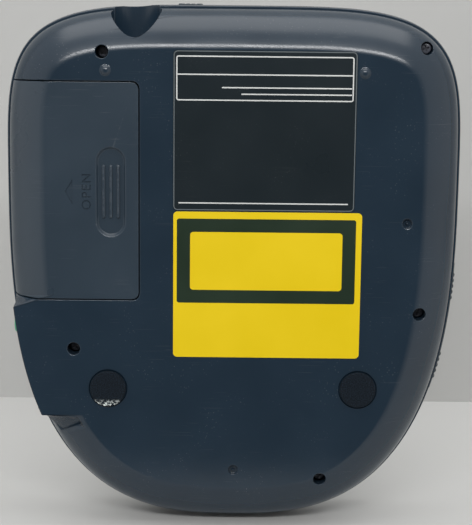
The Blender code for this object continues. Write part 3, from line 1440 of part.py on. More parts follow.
def feed_motor_centre():
    reach = SMALL_PITCH_RADIUS + LARGE_PITCH_RADIUS
    bearing = FEED_MOTOR_BEARING
    return gear_centre() + Vector((math.cos(bearing), math.sin(bearing), 0)) * reach


def make_chassis(frame):
    outline = (
        (-CHASSIS_BACK, -CHASSIS_CORNER),
        (-CHASSIS_CORNER, -CHASSIS_MAIN_EDGE),
        (CHASSIS_MAIN_END, -CHASSIS_MAIN_EDGE),
        (CHASSIS_MAIN_END, -CHASSIS_MAIN_SLOT),
        (CHASSIS_SLOT_START, -CHASSIS_MAIN_SLOT),
        (CHASSIS_SLOT_START, CHASSIS_AUX_SLOT),
        (CHASSIS_AUX_END, CHASSIS_AUX_SLOT),
        (CHASSIS_AUX_END, CHASSIS_AUX_EDGE),
        (-CHASSIS_CORNER, CHASSIS_AUX_EDGE),
        (-CHASSIS_BACK, CHASSIS_CORNER),
    )
    low, high = CHASSIS_Z, CHASSIS_Z + CHASSIS_THICKNESS
    plate = flat("mechanism_chassis", outline, low, high)
    dampers = [in_mechanism(place_xy) for place_xy in LOCATOR_PLACES]
    for number, (root, damper) in enumerate(zip(ARM_ROOTS, dampers), 1):
        outline = slot_outline(root, damper, ARM_RADIUS)
        arm = flat(f"chassis_arm_{number}", outline, low + GAP / 3, high - GAP / 3)
        join(plate, arm, frame)
    for run in rod_brackets():
        join(plate, run, frame)
    axle_ends = [gear_centre() + Vector((0, 0, z)) for z in (gear_low(), high - GAP)]
    axle = [(*axle_ends, GEAR_AXLE_RADIUS)]
    join(plate, rods("gear_axle", axle, TINY), frame)
    through = (low - OVERRUN, high + OVERRUN)
    cut(plate, uprights("damper_holes", dampers, DAMPER_NECK_RADIUS + GAP, *through), frame)
    cut(plate, uprights("motor_hole", [(0, 0)], MOTOR_NECK_RADIUS + RUN, *through), frame)
    rod_places = [(start, end, radius + GAP) for _, start, end, radius in guide_rods()]
    cut(plate, rods("rod_holes", rod_places), frame)
    place(plate, "steel", frame)


def guide_rods():
    """Name, ends and radius of the pickup's two guide rods."""
    yield (
        "guide_rod_main",
        Vector((MAIN_ROD_START, -MAIN_ROD_SIDE, ROD_Z)),
        Vector((MAIN_ROD_END, -MAIN_ROD_SIDE, ROD_Z)),
        MAIN_ROD_RADIUS,
    )
    yield (
        "guide_rod_aux",
        Vector((AUX_ROD_START, AUX_ROD_SIDE, ROD_Z)),
        Vector((AUX_ROD_END, AUX_ROD_SIDE, ROD_Z)),
        AUX_ROD_RADIUS,
    )


def rod_brackets():
    """Blocks folded down from the chassis that hold the rods' ends."""
    for name, start, end, radius in guide_rods():
        half = radius + BRACKET_BORDER
        for number, x in ((1, start.x), (2, end.x - BRACKET_LENGTH)):
            low = (x, start.y - half, ROD_Z - half)
            high = (x + BRACKET_LENGTH, start.y + half, CHASSIS_Z + CHASSIS_THICKNESS / 2)
            yield box(f"{name}_bracket_{number}", low, high)


def make_guide_rods(frame):
    for name, start, end, radius in guide_rods():
        place(rods(name, [(start, end, radius)], SMALL), "steel", frame)


def make_dampers():
    low, high = damper_low(), damper_high()
    plate_low, plate_high = CHASSIS_Z - GAP, CHASSIS_Z + CHASSIS_THICKNESS + GAP
    profile = (
        (DAMPER_RADIUS, high),
        (DAMPER_RADIUS, plate_high),
        (DAMPER_NECK_RADIUS, plate_high),
        (DAMPER_NECK_RADIUS, plate_low),
        (DAMPER_RADIUS, plate_low),
        (DAMPER_RADIUS, low),
        (DAMPER_BORE_RADIUS, low),
        (DAMPER_BORE_RADIUS, high),
    )
    for number, (x, y) in enumerate(LOCATOR_PLACES, 1):
        damper = turned(f"damper_{number}", profile, SMALL)
        damper.location = (x, y, 0)
        place(damper, "foot_rubber")


def motor_top():
    return CHASSIS_Z - GAP


def make_spindle(frame):
    top = motor_top()
    low = top - MOTOR_HEIGHT
    bore = SHAFT_RADIUS + GAP
    profile = (
        (MOTOR_NECK_RADIUS, top + MOTOR_NECK_HEIGHT),
        (MOTOR_NECK_RADIUS, top),
        (MOTOR_RADIUS, top),
        (MOTOR_RADIUS, low),
        (bore, low),
        (bore, top + MOTOR_NECK_HEIGHT),
    )
    place(turned("spindle_motor", profile, ROUND), "steel", frame)
    shaft = uprights("spindle_shaft", [(0, 0)], SHAFT_RADIUS, low, SEAT_Z + TURNTABLE_HUB_HEIGHT - GAP)
    place(shaft, "steel", frame)
    under = SEAT_Z - TURNTABLE_THICKNESS
    hub_top = SEAT_Z + TURNTABLE_HUB_HEIGHT
    profile = (
        (TURNTABLE_HUB_RADIUS - HUB_CHAMFER, hub_top),
        (TURNTABLE_HUB_RADIUS, hub_top - HUB_CHAMFER),
        (TURNTABLE_HUB_RADIUS, SEAT_Z),
        (TURNTABLE_RADIUS, SEAT_Z),
        (TURNTABLE_RADIUS, under),
        (TURNTABLE_NECK_RADIUS, under),
        (TURNTABLE_NECK_RADIUS, under - TURNTABLE_NECK_DEPTH),
        (bore, under - TURNTABLE_NECK_DEPTH),
        (bore, hub_top),
    )
    place(turned("turntable", profile, ROUND), "dark_plastic", frame)


def gear_outline(teeth, phase):
    """Involute teeth with a tooth centred on the phase angle."""
    pitch = GEAR_MODULE * teeth / 2
    base = pitch * math.cos(PRESSURE)
    root = pitch - DEDENDUM_SHARE * GEAR_MODULE
    tip = pitch + ADDENDUM_SHARE * GEAR_MODULE
    at_pitch = math.pi / (2 * teeth) - BACKLASH / (2 * pitch)
    points = []
    for tooth in range(teeth):
        middle = phase + 2 * math.pi * tooth / teeth
        flank = [(radius, half_tooth(radius, base, at_pitch)) for radius in (root, tip)]
        for radius, half in flank:
            points.append((radius * math.cos(middle - half), radius * math.sin(middle - half)))
        for radius, half in reversed(flank):
            points.append((radius * math.cos(middle + half), radius * math.sin(middle + half)))
    return points


def half_tooth(radius, base, at_pitch):
    """Half of a tooth's angle at a radius."""
    roll = math.acos(min(base / radius, 1))
    return at_pitch + (math.tan(PRESSURE) - PRESSURE) - (math.tan(roll) - roll)


def rack_outline(back):
    """Rack teeth towards +y, centred between two teeth at x = 0, down to a flat back."""
    pitch = math.pi * GEAR_MODULE
    tip = ADDENDUM_SHARE * GEAR_MODULE
    root = -DEDENDUM_SHARE * GEAR_MODULE
    half = pitch / 4 - BACKLASH / 2
    lean = math.tan(PRESSURE)
    points = []
    for tooth in range(RACK_TEETH):
        middle = (tooth - (RACK_TEETH - 1) / 2) * pitch
        for height, sign in ((root, -1), (tip, -1), (tip, 1), (root, 1)):
            points.append((middle + sign * (half - height * lean), height))
    first, last = points[0][0], points[-1][0]
    return points + [(last, -back), (first, -back)]


def gear_low():
    return CHASSIS_Z - LARGE_GEAR_DROP


def rack_low():
    return ROD_Z - RACK_LOW


def make_feed_gears(frame):
    centre = gear_centre()
    low = gear_low()
    large = gear_outline(LARGE_TEETH, FEED_MOTOR_BEARING)
    gear = flat("feed_gear", large, low, low + LARGE_GEAR_HEIGHT)
    top = rack_low() + RACK_HEIGHT + SMALL_GEAR_EXTRA
    small = gear_outline(PINION_TEETH, -math.pi / 2)
    join(gear, moved(flat("feed_gear_small", small, low + LARGE_GEAR_HEIGHT / 2, top), centre), frame)
    bore = uprights("feed_gear_bore", [centre.xy], GEAR_AXLE_RADIUS + GAP, low - OVERRUN, top + OVERRUN, TINY)
    cut(gear, bore, frame)
    gear.location = centre
    place(gear, "gear_white", frame)
    motor_at = feed_motor_centre()
    top = motor_top()
    motor_low = top - FEED_MOTOR_HEIGHT
    motor = uprights("feed_motor", [motor_at.xy], FEED_MOTOR_RADIUS, motor_low, top, ROUND)
    bore_top = motor_low + FEED_SHAFT_REACH
    bore_low = motor_low - OVERRUN
    bore = uprights("feed_motor_bore", [motor_at.xy], FEED_SHAFT_RADIUS + GAP, bore_low, bore_top, TINY)
    cut(motor, bore, frame)
    place(motor, "steel", frame)
    phase = FEED_MOTOR_BEARING + math.pi + math.pi / PINION_TEETH
    pinion = flat("motor_pinion", gear_outline(PINION_TEETH, phase), low, low + LARGE_GEAR_HEIGHT)
    shaft = uprights("pinion_shaft", [motor_at.xy], FEED_SHAFT_RADIUS, low + GAP, bore_top - GAP, TINY)
    join(pinion, shaft, frame)
    pinion.location = motor_at
    place(pinion, "gear_white", frame)


def moved(obj, offset):
    obj.location = offset
    return obj


def make_sled(frame):
    """Pickup carriage at the inner end of its travel, with its rack."""
    low = ROD_Z - SLED_LOW
    high = ROD_Z + SLED_HIGH
    lens = LENS_START
    sled = box("pickup_sled", (lens - SLED_INNER, -SLED_HALF, low), (lens + SLED_OUTER, SLED_HALF, high))
    tower_top = DECK_ROOF_Z - TOWER_TOP
    tower = box(
        "sled_tower",
        (lens - SLED_INNER + GAP, -TOWER_HALF, high - GAP),
        (lens + SLED_OUTER - GAP, TOWER_HALF, tower_top),
    )
    join(sled, tower, frame)
    bush_half = MAIN_ROD_RADIUS + BUSH_BORDER
    bush = box(
        "sled_bush",
        (lens - BUSH_INNER, -MAIN_ROD_SIDE - bush_half, ROD_Z - bush_half + GAP),
        (lens - BUSH_OUTER, -SLED_HALF + GAP, high - GAP / 2),
    )
    join(sled, bush, frame)
    fork = box(
        "sled_fork",
        (lens - FORK_INNER, SLED_HALF - GAP, ROD_Z - bush_half + GAP / 2),
        (lens - FORK_OUTER, RACK_BACK + GAP, high - GAP / 3),
    )
    join(sled, fork, frame)
    back = RACK_SIDE - RACK_BACK
    rack = flat("sled_rack", rack_outline(back), rack_low(), rack_low() + RACK_HEIGHT)
    pitch = math.pi * GEAR_MODULE
    # A gap between two teeth faces the gear when the sled is at rest
    teeth_out = round((lens + SLED_OUTER - GEAR_PLACE) / pitch)
    middle = GEAR_PLACE + (teeth_out - RACK_TEETH / 2) * pitch
    rack.location = (middle, RACK_SIDE, 0)
    join(sled, rack, frame)
    back = Vector((OVERRUN, 0, 0))
    rod_runs = [(start - back, end, radius + GAP) for _, start, end, radius in guide_rods()]
    cut(sled, rods("sled_rod_bores", rod_runs), frame)
    slot_half = AUX_ROD_RADIUS + GAP
    slot = box(
        "sled_fork_slot",
        (lens - FORK_INNER - OVERRUN, AUX_ROD_SIDE - slot_half, low - OVERRUN),
        (lens - FORK_OUTER + GAP, AUX_ROD_SIDE + slot_half, ROD_Z),
    )
    cut(sled, slot, frame)
    place(sled, "dark_plastic", frame)
    holder_low = tower_top + GAP
    holder_top = holder_low + LENS_HOLDER_HEIGHT
    half = LENS_HOLDER_WIDTH / 2
    start = lens + SLED_OUTER - GAP - LENS_HOLDER_LENGTH
    holder = box(
        "lens_holder",
        (start, -half, holder_low),
        (start + LENS_HOLDER_LENGTH, half, holder_top),
        KEY_ROUND,
        True,
    )
    place(holder, "dark_plastic", frame)
    top = holder_top + GAP + LENS_HEIGHT
    profile = ((0, top), (LENS_RADIUS / 2, top - LENS_HEIGHT / 8), (LENS_RADIUS, holder_top + GAP * 2))
    profile += ((LENS_RADIUS, holder_top + GAP), (0, holder_top + GAP))
    lens_piece = turned("objective_lens", profile, SMALL)
    lens_piece.location = (lens, 0, 0)
    place(lens_piece, "lens_glass", frame)


def make_mechanism():
    frame = bpy.data.objects.new("mechanism_frame", None)
    frame.matrix_world = mechanism_matrix()
    parts.objects.link(frame)
    make_chassis(frame)
    make_guide_rods(frame)
    make_dampers()
    make_spindle(frame)
    make_feed_gears(frame)
    make_sled(frame)


clear_scene()
make_bottom_shell()
make_battery_door()
make_feet()
make_screws()
make_upper_case()
make_side_grip()
make_open_button()
make_lid_liner(make_lid())
make_hinge_pins()
make_keys()
make_key_board()
make_display()
make_hold_switch()
make_socket("phones", PHONES_Y, "green_plastic", COLLAR_PROUD)
make_socket("line", LINE_Y, "dark_plastic", LINE_PROUD)
make_dc_socket()
make_main_board()
make_battery_case()
make_contacts()
make_mechanism()
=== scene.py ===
"""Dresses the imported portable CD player: finer housings, small details, materials, light and camera."""

import json
import math

import bmesh
import bpy
from mathutils import Matrix, Vector

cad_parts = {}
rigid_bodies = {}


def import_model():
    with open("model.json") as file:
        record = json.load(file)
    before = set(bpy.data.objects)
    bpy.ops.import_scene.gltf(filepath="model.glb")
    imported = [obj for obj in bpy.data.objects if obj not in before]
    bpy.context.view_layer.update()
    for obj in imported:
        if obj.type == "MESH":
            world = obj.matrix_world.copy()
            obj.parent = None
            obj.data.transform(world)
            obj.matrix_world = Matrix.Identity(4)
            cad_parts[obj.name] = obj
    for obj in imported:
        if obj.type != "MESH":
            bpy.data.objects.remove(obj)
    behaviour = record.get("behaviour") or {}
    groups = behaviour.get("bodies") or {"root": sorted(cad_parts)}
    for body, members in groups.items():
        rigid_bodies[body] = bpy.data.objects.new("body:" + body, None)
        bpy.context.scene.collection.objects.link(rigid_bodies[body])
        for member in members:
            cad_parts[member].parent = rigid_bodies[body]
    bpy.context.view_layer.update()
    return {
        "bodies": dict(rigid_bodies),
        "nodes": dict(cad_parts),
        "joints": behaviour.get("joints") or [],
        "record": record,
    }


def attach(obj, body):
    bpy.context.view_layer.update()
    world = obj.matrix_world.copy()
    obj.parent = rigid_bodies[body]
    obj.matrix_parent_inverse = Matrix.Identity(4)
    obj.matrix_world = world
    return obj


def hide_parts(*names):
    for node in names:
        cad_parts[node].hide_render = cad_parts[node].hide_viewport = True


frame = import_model()

# Sizes of the solids, in metres, worked out from the disc and the cells
MM = 0.001
GAP = 0.3 * MM
RUN = 0.4 * MM
OVERRUN = 3 * MM
SLIVER = GAP / 3
MERGE_GAP = GAP / 30
WELD_GAP = GAP / 300
DISC_RADIUS = 60 * MM
WELL_CLEARANCE = 0.8 * MM
WELL_RADIUS = DISC_RADIUS + WELL_CLEARANCE
SIDE_MARGIN = 5.2 * MM
FRONT_MARGIN = 5.4 * MM
HINGE_MARGIN = 7.2 * MM
BARREL_RADIUS = 4.1 * MM
BARREL_GAP = 0.4 * MM
STRIP_DEPTH = 13.7 * MM
HALF_WIDTH = WELL_RADIUS + SIDE_MARGIN
LENGTH = FRONT_MARGIN + 2 * WELL_RADIUS + HINGE_MARGIN + BARREL_RADIUS + BARREL_GAP + STRIP_DEPTH
BACK_Y = LENGTH / 2
FRONT_Y = -LENGTH / 2
DISC_Y = FRONT_Y + FRONT_MARGIN + WELL_RADIUS
HINGE_Y = DISC_Y + WELL_RADIUS + HINGE_MARGIN
STRIP_FRONT_Y = HINGE_Y + BARREL_RADIUS + BARREL_GAP
WIDEST_SHARE = 0.3141
WIDEST_Y = WIDEST_SHARE * BACK_Y
FRONT_POWER = 2.7
BACK_POWER = 4.4
QUADRANT_STEPS = 36
FOOT_HEIGHT = 0.8 * MM
WALL = 1.8 * MM
PARTING_Z = 12 * MM
RIM_INSET = 1 * MM
ROLL_WIDTH = 11 * MM
ROLL_START = math.radians(28)
ROLL_STEPS = 16
INNER_ROLL_STEPS = 4
FLOOR_Z = FOOT_HEIGHT + WALL
CELL_DIAMETER = 14.5 * MM
CELL_LENGTH = 50.5 * MM
CELL_PLAY = 0.3 * MM
BAY_MARGIN = 6.6 * MM
BAY_WALL = 1.2 * MM
BAY_BACK_MARGIN = 22 * MM
CONTACT_THICKNESS = 0.4 * MM
SPRING_WIRE_RADIUS = 0.3 * MM
SPRING_TURNS = 5
SPRING_PITCH = 1.15 * MM
SPRING_LENGTH = SPRING_TURNS * SPRING_PITCH + 2 * SPRING_WIRE_RADIUS
BAY_ROOF_Z = FLOOR_Z + CELL_DIAMETER + 2 * CELL_PLAY + BAY_WALL
BAY_X1 = HALF_WIDTH - BAY_MARGIN
BAY_X0 = BAY_X1 - 2 * BAY_WALL - 2 * CELL_DIAMETER - 3 * CELL_PLAY
BAY_LENGTH = CELL_LENGTH + SPRING_LENGTH + 2 * CONTACT_THICKNESS + 5 * GAP + 2 * BAY_WALL
BAY_Y1 = BACK_Y - BAY_BACK_MARGIN
BAY_Y0 = BAY_Y1 - BAY_LENGTH
PANEL_GAP = 2.95 * MM
PANEL_LENGTH = 32.6 * MM
PANEL_DRAFT = 0.6 * MM
PANEL_BACK_Y = BAY_Y0 - PANEL_GAP
PANEL_BACK_SLOPE = 2.5 * MM
PANEL_FRONT_Y = PANEL_BACK_Y - PANEL_LENGTH
PANEL_FRONT_SLOPE = 5 * MM
PANEL_STEPS = 16
FRONT_STEPS = 26
SIDE_STEPS = 14
PHONES_INSET = 5.9 * MM
SOCKET_PITCH = 14 * MM
PHONES_Y = PANEL_BACK_Y - PHONES_INSET
LINE_Y = PHONES_Y - SOCKET_PITCH
SOCKET_Z = 8.6 * MM
SOCKET_BODY_WIDTH = 7 * MM
SOCKET_BORE_RADIUS = 1.8 * MM
COLLAR_RADIUS = 2.75 * MM
COLLAR_PROUD = 0.8 * MM
LINE_PROUD = 0.1 * MM
SCOOP_OFFSET = 0.9 * MM
SCOOP_X = BAY_X0 + SCOOP_OFFSET
SCOOP_Z = 9.2 * MM
SCOOP_RADIUS = 7.2 * MM
SCOOP_DEPTH = 10.4 * MM
SCOOP_WALL = 1.3 * MM
DOOR_BORDER = 0.5 * MM
DOOR_X0 = BAY_X0 - DOOR_BORDER
DOOR_Y0 = BAY_Y0 - DOOR_BORDER
DOOR_Y1 = BAY_Y1 + DOOR_BORDER
DOOR_CORNER = 2 * MM
GRIP_OFFSET = 8.2 * MM
GRIP_RADIUS = 4.1 * MM
GRIP_LENGTH = 25.4 * MM
GRIP_DEPTH = 0.9 * MM
GRIP_RIB_COUNT = 3
GRIP_RIB_PITCH = 2.1 * MM
GRIP_RIB_WIDTH = 0.8 * MM
GRIP_RIB_LENGTH = 15 * MM
GRIP_RIB_HEIGHT = 0.7 * MM
TAB_COUNT = 2
TAB_START = 1.2 * MM
TAB_PITCH = 10 * MM
TAB_LENGTH = 4.5 * MM
TAB_REACH = 1.5 * MM
TAB_THICKNESS = 0.6 * MM
TAB_ROOT = 1.2 * MM
FOOT_RADIUS = 5.2 * MM
FOOT_SEAT = 0.5 * MM
FOOT_EDGE = 0.25 * MM
FOOT_PLACE_SHARES = ((0.5439, -0.4463), (-0.5561, -0.4424))
FOOT_PLACES = [(x * HALF_WIDTH, y * BACK_Y) for x, y in FOOT_PLACE_SHARES]
PIP_RADIUS = 1.5 * MM
PIP_PLACE_SHARES = ((0.5485, 0.7565), (-0.5545, 0.7552))
PIP_PLACES = [(x * HALF_WIDTH, y * BACK_Y) for x, y in PIP_PLACE_SHARES]
SCREW_SHELF_Z = 7 * MM
CORNER_SHELF_Z = 9.4 * MM
SCOOP_SCREW_GAP = 9.2 * MM
BACK_SCREW_MARGIN = 13.4 * MM
CORNER_SCREW_INSET = 11.7 * MM
CORNER_SCREW_MARGIN = 11.6 * MM
SIDE_SCREW_INSET = 12 * MM
SIDE_SCREW_SHARE = -0.1479
JACK_SCREW_SHARE = 0.6939
JACK_SCREW_GAP = 7.9 * MM
FRONT_SCREW_SHARE = -0.397
FRONT_SCREW_MARGIN = 15.2 * MM
SCREWS = (
    (SCOOP_X + SCOOP_SCREW_GAP, BACK_Y - BACK_SCREW_MARGIN, SCREW_SHELF_Z),
    (CORNER_SCREW_INSET - HALF_WIDTH, BACK_Y - CORNER_SCREW_MARGIN, CORNER_SHELF_Z),
    (SIDE_SCREW_INSET - HALF_WIDTH, SIDE_SCREW_SHARE * BACK_Y, SCREW_SHELF_Z),
    (JACK_SCREW_SHARE * HALF_WIDTH, LINE_Y + JACK_SCREW_GAP, SCREW_SHELF_Z),
    (FRONT_SCREW_SHARE * HALF_WIDTH, FRONT_Y + FRONT_SCREW_MARGIN, SCREW_SHELF_Z),
)
SCREW_PLACES = [(x, y) for x, y, _ in SCREWS]
TUBE_RADIUS = 3.1 * MM
SCREW_HOLE_RADIUS = 1.85 * MM
SCREW_HEAD_RADIUS = 1.55 * MM
SCREW_HEAD_HEIGHT = 1.2 * MM
SCREW_SHANK_RADIUS = 0.95 * MM
SCREW_LENGTH = 9.2 * MM
SHANK_HOLE_RADIUS = SCREW_SHANK_RADIUS + GAP
LOCATOR_PLACE_SHARES = ((-0.753, 0.199), (-0.0106, -0.7657))
LOCATOR_PLACES = [(x * HALF_WIDTH, y * BACK_Y) for x, y in LOCATOR_PLACE_SHARES]
LOCATOR_RADIUS = 1.35 * MM
LOCATOR_DEPTH = 1 * MM
POST_RADIUS = 2.2 * MM
PIN_RADIUS = 1.2 * MM
DECK_ROOF_Z = BAY_ROOF_Z + RUN
WELL_FLOOR = 1.2 * MM
WELL_Z = DECK_ROOF_Z + WELL_FLOOR
SEAT_RISE = 2.2 * MM
SEAT_Z = WELL_Z + SEAT_RISE
DECK_RISE = 0.4 * MM
DECK_Z = SEAT_Z + DECK_RISE
SHOULDER_RISE = 0.8 * MM
SHOULDER_Z = DECK_ROOF_Z + SHOULDER_RISE
BELT_RISE = 1.3 * MM
BELT_HEIGHT = 2 * MM
BELT_INSET = 0.3 * MM
SHOULDER_INSET = 0.9 * MM
LIP_INSET = 3 * MM
SKIRT_WALL = 1.8 * MM
LID_EDGE_INSET = 0.5 * MM
LID_WALL = 1.6 * MM
LID_Z = SHOULDER_Z + GAP
LID_SIDE_HEIGHT = 2.2 * MM
LID_ROLL_WIDTH = 11 * MM
LID_ROLL_HEIGHT = 5.7 * MM
LID_CROWN = 1.4 * MM
LID_ROLL_STEPS = 14
LID_INNER_STEPS = 6
LID_CROWN_SHARES = (0.1, 0.22, 0.36, 0.52, 0.7, 0.86)
BARREL_RISE = 0.1 * MM
HINGE_Z = LID_Z + BARREL_RADIUS + BARREL_RISE
EAR_RADIUS = 3.4 * MM
EAR_WIDTH = 7.4 * MM
EAR_X = 40 * MM
NOTCH_DEPTH = 0.8 * MM
HINGE_PIN_RADIUS = 1 * MM
HINGE_PIN_LENGTH = 16 * MM
HOOK_WIDTH = 5 * MM
HOOK_THICKNESS = 0.8 * MM
HOOK_INSET = 3.2 * MM
HOOK_ROOT_REACH = 1.6 * MM
HOOK_DROP = 3 * MM
HOOK_LOW_Z = DECK_ROOF_Z - HOOK_DROP
NOSE_HEIGHT = 1.2 * MM
NOSE_REACH = 0.6 * MM
BUTTON_HALF_WIDTH = 11 * MM
BUTTON_RISE = 1.7 * MM
BUTTON_LOW_Z = PARTING_Z + BUTTON_RISE
BUTTON_HEIGHT = 4 * MM
BUTTON_THICKNESS = 1.6 * MM
BUTTON_STEPS = 24
LATCH_ARM_WIDTH = 1.4 * MM
LATCH_ARM_HEIGHT = 1.2 * MM
LATCH_SPAN = 9 * MM
LATCH_BAR_DEPTH = 1.4 * MM
STRIP_ROOF_RISE = 5 * MM
STRIP_ROOF = 1.4 * MM
STRIP_NECK_INSET = 1.4 * MM
STRIP_ROOF_Z = DECK_ROOF_Z + STRIP_ROOF_RISE
POCKET_Z = STRIP_ROOF_Z + STRIP_ROOF
POCKET_FRONT = 1.3 * MM
POCKET_DEPTH = 7.2 * MM
POCKET_CORNER = 1.2 * MM
KEY_WIDTH = 6.4 * MM
KEY_PITCH = 7.6 * MM
KEY_HEIGHT = 2.1 * MM
KEY_ROUND = 0.6 * MM
KEY_STEM_RADIUS = 1.2 * MM
KEY_TRAVEL = 0.5 * MM
LEFT_KEYS = ("mode_key", "stop_key", "play_key")
RIGHT_KEYS = ("skip_back_key", "skip_forward_key", "volume_down_key", "volume_up_key")
LEFT_KEYS_X = -32.6 * MM
RIGHT_KEYS_X = 29.6 * MM
DISPLAY_X = -3 * MM
DISPLAY_WIDTH = 28.4 * MM
DISPLAY_BORDER = 1.6 * MM
DISPLAY_DEPTH = 3.2 * MM
SWITCH_HEIGHT = 0.9 * MM
BOARD_POST_RADIUS = 1.5 * MM
BOARD_POST_SHARES = (-0.303, 0.203)
BOARD_POST_PLACES_X = [share * HALF_WIDTH for share in BOARD_POST_SHARES]
HOLD_X = 13.9 * MM
HOLD_WIDTH = 7 * MM
HOLD_HEIGHT = 3.4 * MM
HOLD_RISE = 4 * MM
HOLD_Z = PARTING_Z + HOLD_RISE
HOLD_PROUD = 0.4 * MM
HOLD_SINK = 0.8 * MM
HOLD_TRAVEL = 2.2 * MM
HOLD_STEM_WIDTH = 3 * MM
HOLD_STEM_HEIGHT = 1.6 * MM
HOLD_FLANGE = 1 * MM
SIDE_GRIP_BACK_Y = 2 * MM
SIDE_GRIP_FRONT_Y = -36 * MM
SIDE_GRIP_RISE = 1.4 * MM
SIDE_GRIP_LOW_Z = PARTING_Z + SIDE_GRIP_RISE
SIDE_GRIP_HEIGHT = 5.2 * MM
SIDE_GRIP_SEAT = 1 * MM
SIDE_GRIP_PROUD = 0.1 * MM
SIDE_RIB_PROUD = 0.4 * MM
SIDE_RIB_COUNT = 5
SIDE_RIB_PITCH = 1.7 * MM
SIDE_RIB_MARGIN = 3.6 * MM
DC_NOSE_RADIUS = 2.8 * MM
TRAVEL_DEGREES = 211
LENS_END_MARGIN = 3 * MM
LENS_END = DISC_RADIUS - LENS_END_MARGIN
CHASSIS_DROP = 5.2 * MM
CHASSIS_Z = DECK_ROOF_Z - CHASSIS_DROP
CHASSIS_THICKNESS = 1 * MM
DAMPER_HEIGHT = 6 * MM
MECH_WINDOW_RADIUS = 17 * MM
MECH_WINDOW_HALF = 9 * MM
MECH_WINDOW_MARGIN = 3.2 * MM
MECH_WINDOW_END = LENS_END + MECH_WINDOW_MARGIN
MECH_WINDOW_CORNER = 3 * MM
FINE = 128
ROUND = 48
SMALL = 32
TINY = 16
SCOOP_END_Y = BACK_Y - SCOOP_DEPTH
KEY_Y = STRIP_FRONT_Y + POCKET_FRONT + POCKET_DEPTH / 2

# Base colours, as linear values
SLATE = (0.012, 0.025, 0.041)
DOOR_SLATE = (0.025, 0.04, 0.057)
SILVER = (0.48, 0.5, 0.52)
CHARCOAL = (0.014, 0.016, 0.018)
GRIP_SLATE = (0.03, 0.042, 0.052)
FOOT_BLACK = (0.004, 0.007, 0.011)
GREEN = (0.09, 0.42, 0.24)
KEY_GREY = (0.2, 0.21, 0.22)
SCREW_BLACK = (0.07, 0.075, 0.095)
STEEL = (0.56, 0.57, 0.58)
BOARD = (0.012, 0.09, 0.04)
GEAR = (0.72, 0.72, 0.68)
WINDOW = (0.03, 0.036, 0.036)
LCD = (0.2, 0.24, 0.19)
LENS = (0.05, 0.07, 0.2)
LABEL_BLACK = (0.01, 0.016, 0.02)
LABEL_YELLOW = (0.78, 0.56, 0.004)
LABEL_GREEN = (0.012, 0.026, 0.014)
LABEL_WHITE = (0.62, 0.63, 0.62)
LABEL_EDGE = (0.12, 0.14, 0.15)
WORN_WHITE = (0.6795, 0.7305, 0.7157)

# Grain, tone and edge wear patterns, the edge wear partly a painted edge highlight, in cycles per metre, and
# the grain's depth
GRAIN_SCALE = 3200
GRAIN_DEPTH = 0.02 * MM
BROAD_SCALE = 45
EDGE_WEAR_HIGHLIGHT_SCALE = 900
TONE_SPAN = (0.35, 0.65)
GLOSS_SPAN = (0.3, 0.7)
GLOSS_SHARES = (0.88, 1.12)
# Edge paling by pointiness, part wear and part painted edge highlight, and how far pale marks and that
# highlight lighten
EDGE_WEAR_HIGHLIGHT_SPAN = (0.53, 0.62)
EDGE_WEAR_HIGHLIGHT_PATCH_SPAN = (0.4, 0.62)
MARK_AND_HIGHLIGHT_LIGHTEN = 0.3
SCRATCH_SCALE = 60
SCRATCH_PATCH = 110
SCRATCH_WARP = 0.3
SCRATCH_LINE_SPAN = (0.7, 0.72)
SCRATCH_PATCH_SPAN = (0.52, 0.6)
SCRATCH_RUNS = ((0.2, (1, 60, 1)), (1.35, (1, 60, 1)))
DUST_SCALE = 1100
DUST_PATCH = 90
DUST_SPECK_SPAN = (0.16, 0.08)
DUST_PATCH_SPAN = (0.5, 0.62)
BRUSH_STRETCH = 12
SPOT_SCALE = 6 * BROAD_SCALE
METAL_DARK = 0.75
POLISH_SHARES = (0.8, 1.25)
SPECKLE_SCALE = 2600
SPECKLE_ROUGH = 0.7
SPECKLE_SPAN = (0.42, 0.7)
SPECKLE_SHARES = (0.6, 3.5)
SPECKLE_DEPTH = 3 * GRAIN_DEPTH
SPECKLE_GLOSS = 0.85
SPECKLE_BUMP = 0.8
SMEAR_SCALE = 4 * BROAD_SCALE
SMEAR_LIGHT = 1.15
SMEAR_SPAN = (0.4, 0.7)
SMEAR_BUMP = 0.2
WORN_SCALE = 900
WORN_ROUGH = 0.8
WORN_SPAN = (0.5, 0.54)
WORN_Y_HIGH = -3 * MM
WORN_Y_LOW = -4.4 * MM
TRACK_SCALE = 260
TRACK_LIGHT = 1.9
TRACK_GAP = 0.03
TRACK_GLOSS = 0.7
TRACK_BUMP = 0.4
BOARD_COAT = 0.4
HOUSING_IOR = 1.55
RUBBER_IOR = 1.25
SCREW_IOR = 1.7
WINDOW_IOR = 1.49
LENS_IOR = 1.6
SHARP_ANGLE = math.radians(32)

# Finer details than the solids have
EDGE_ROUND = 0.18 * MM
CREASE_SHARE = 0.06
CREASE_STEPS = 5
SEAT_FLARE = 0.15 * MM
NUB_RADIUS = 0.5 * MM
NUB_SHARE = 0.6
HOLLOW_DRAFT = 0.5 * MM
HOLLOW_STEPS = 24
EDGE_STEPS = 4
ENGRAVING = 0.25 * MM
ARROW_OFFSETS = ((21.2 * MM, 0), (19.1 * MM, -3.6 * MM), (19.1 * MM, 3.6 * MM))
WORD_OFFSET = 15 * MM
WORD_SIZE = 3.7 * MM
WORD_SPACING = 1.15
SCREW_EDGE = 0.5 * MM
CROSS_REACH = 1 * MM
CROSS_WIDTH = 0.42 * MM
CROSS_DEPTH = 0.8 * MM
SCREW_TURN = math.radians(37)
GRIP_POINTS = 240
HOLD_GROOVES = 3
HOLD_GROOVE_PITCH = 1.5 * MM
HOLD_GROOVE_WIDTH = 0.5 * MM
SIGN_SIZE = 1.5 * MM
SIGN_RISE = 0.05 * MM
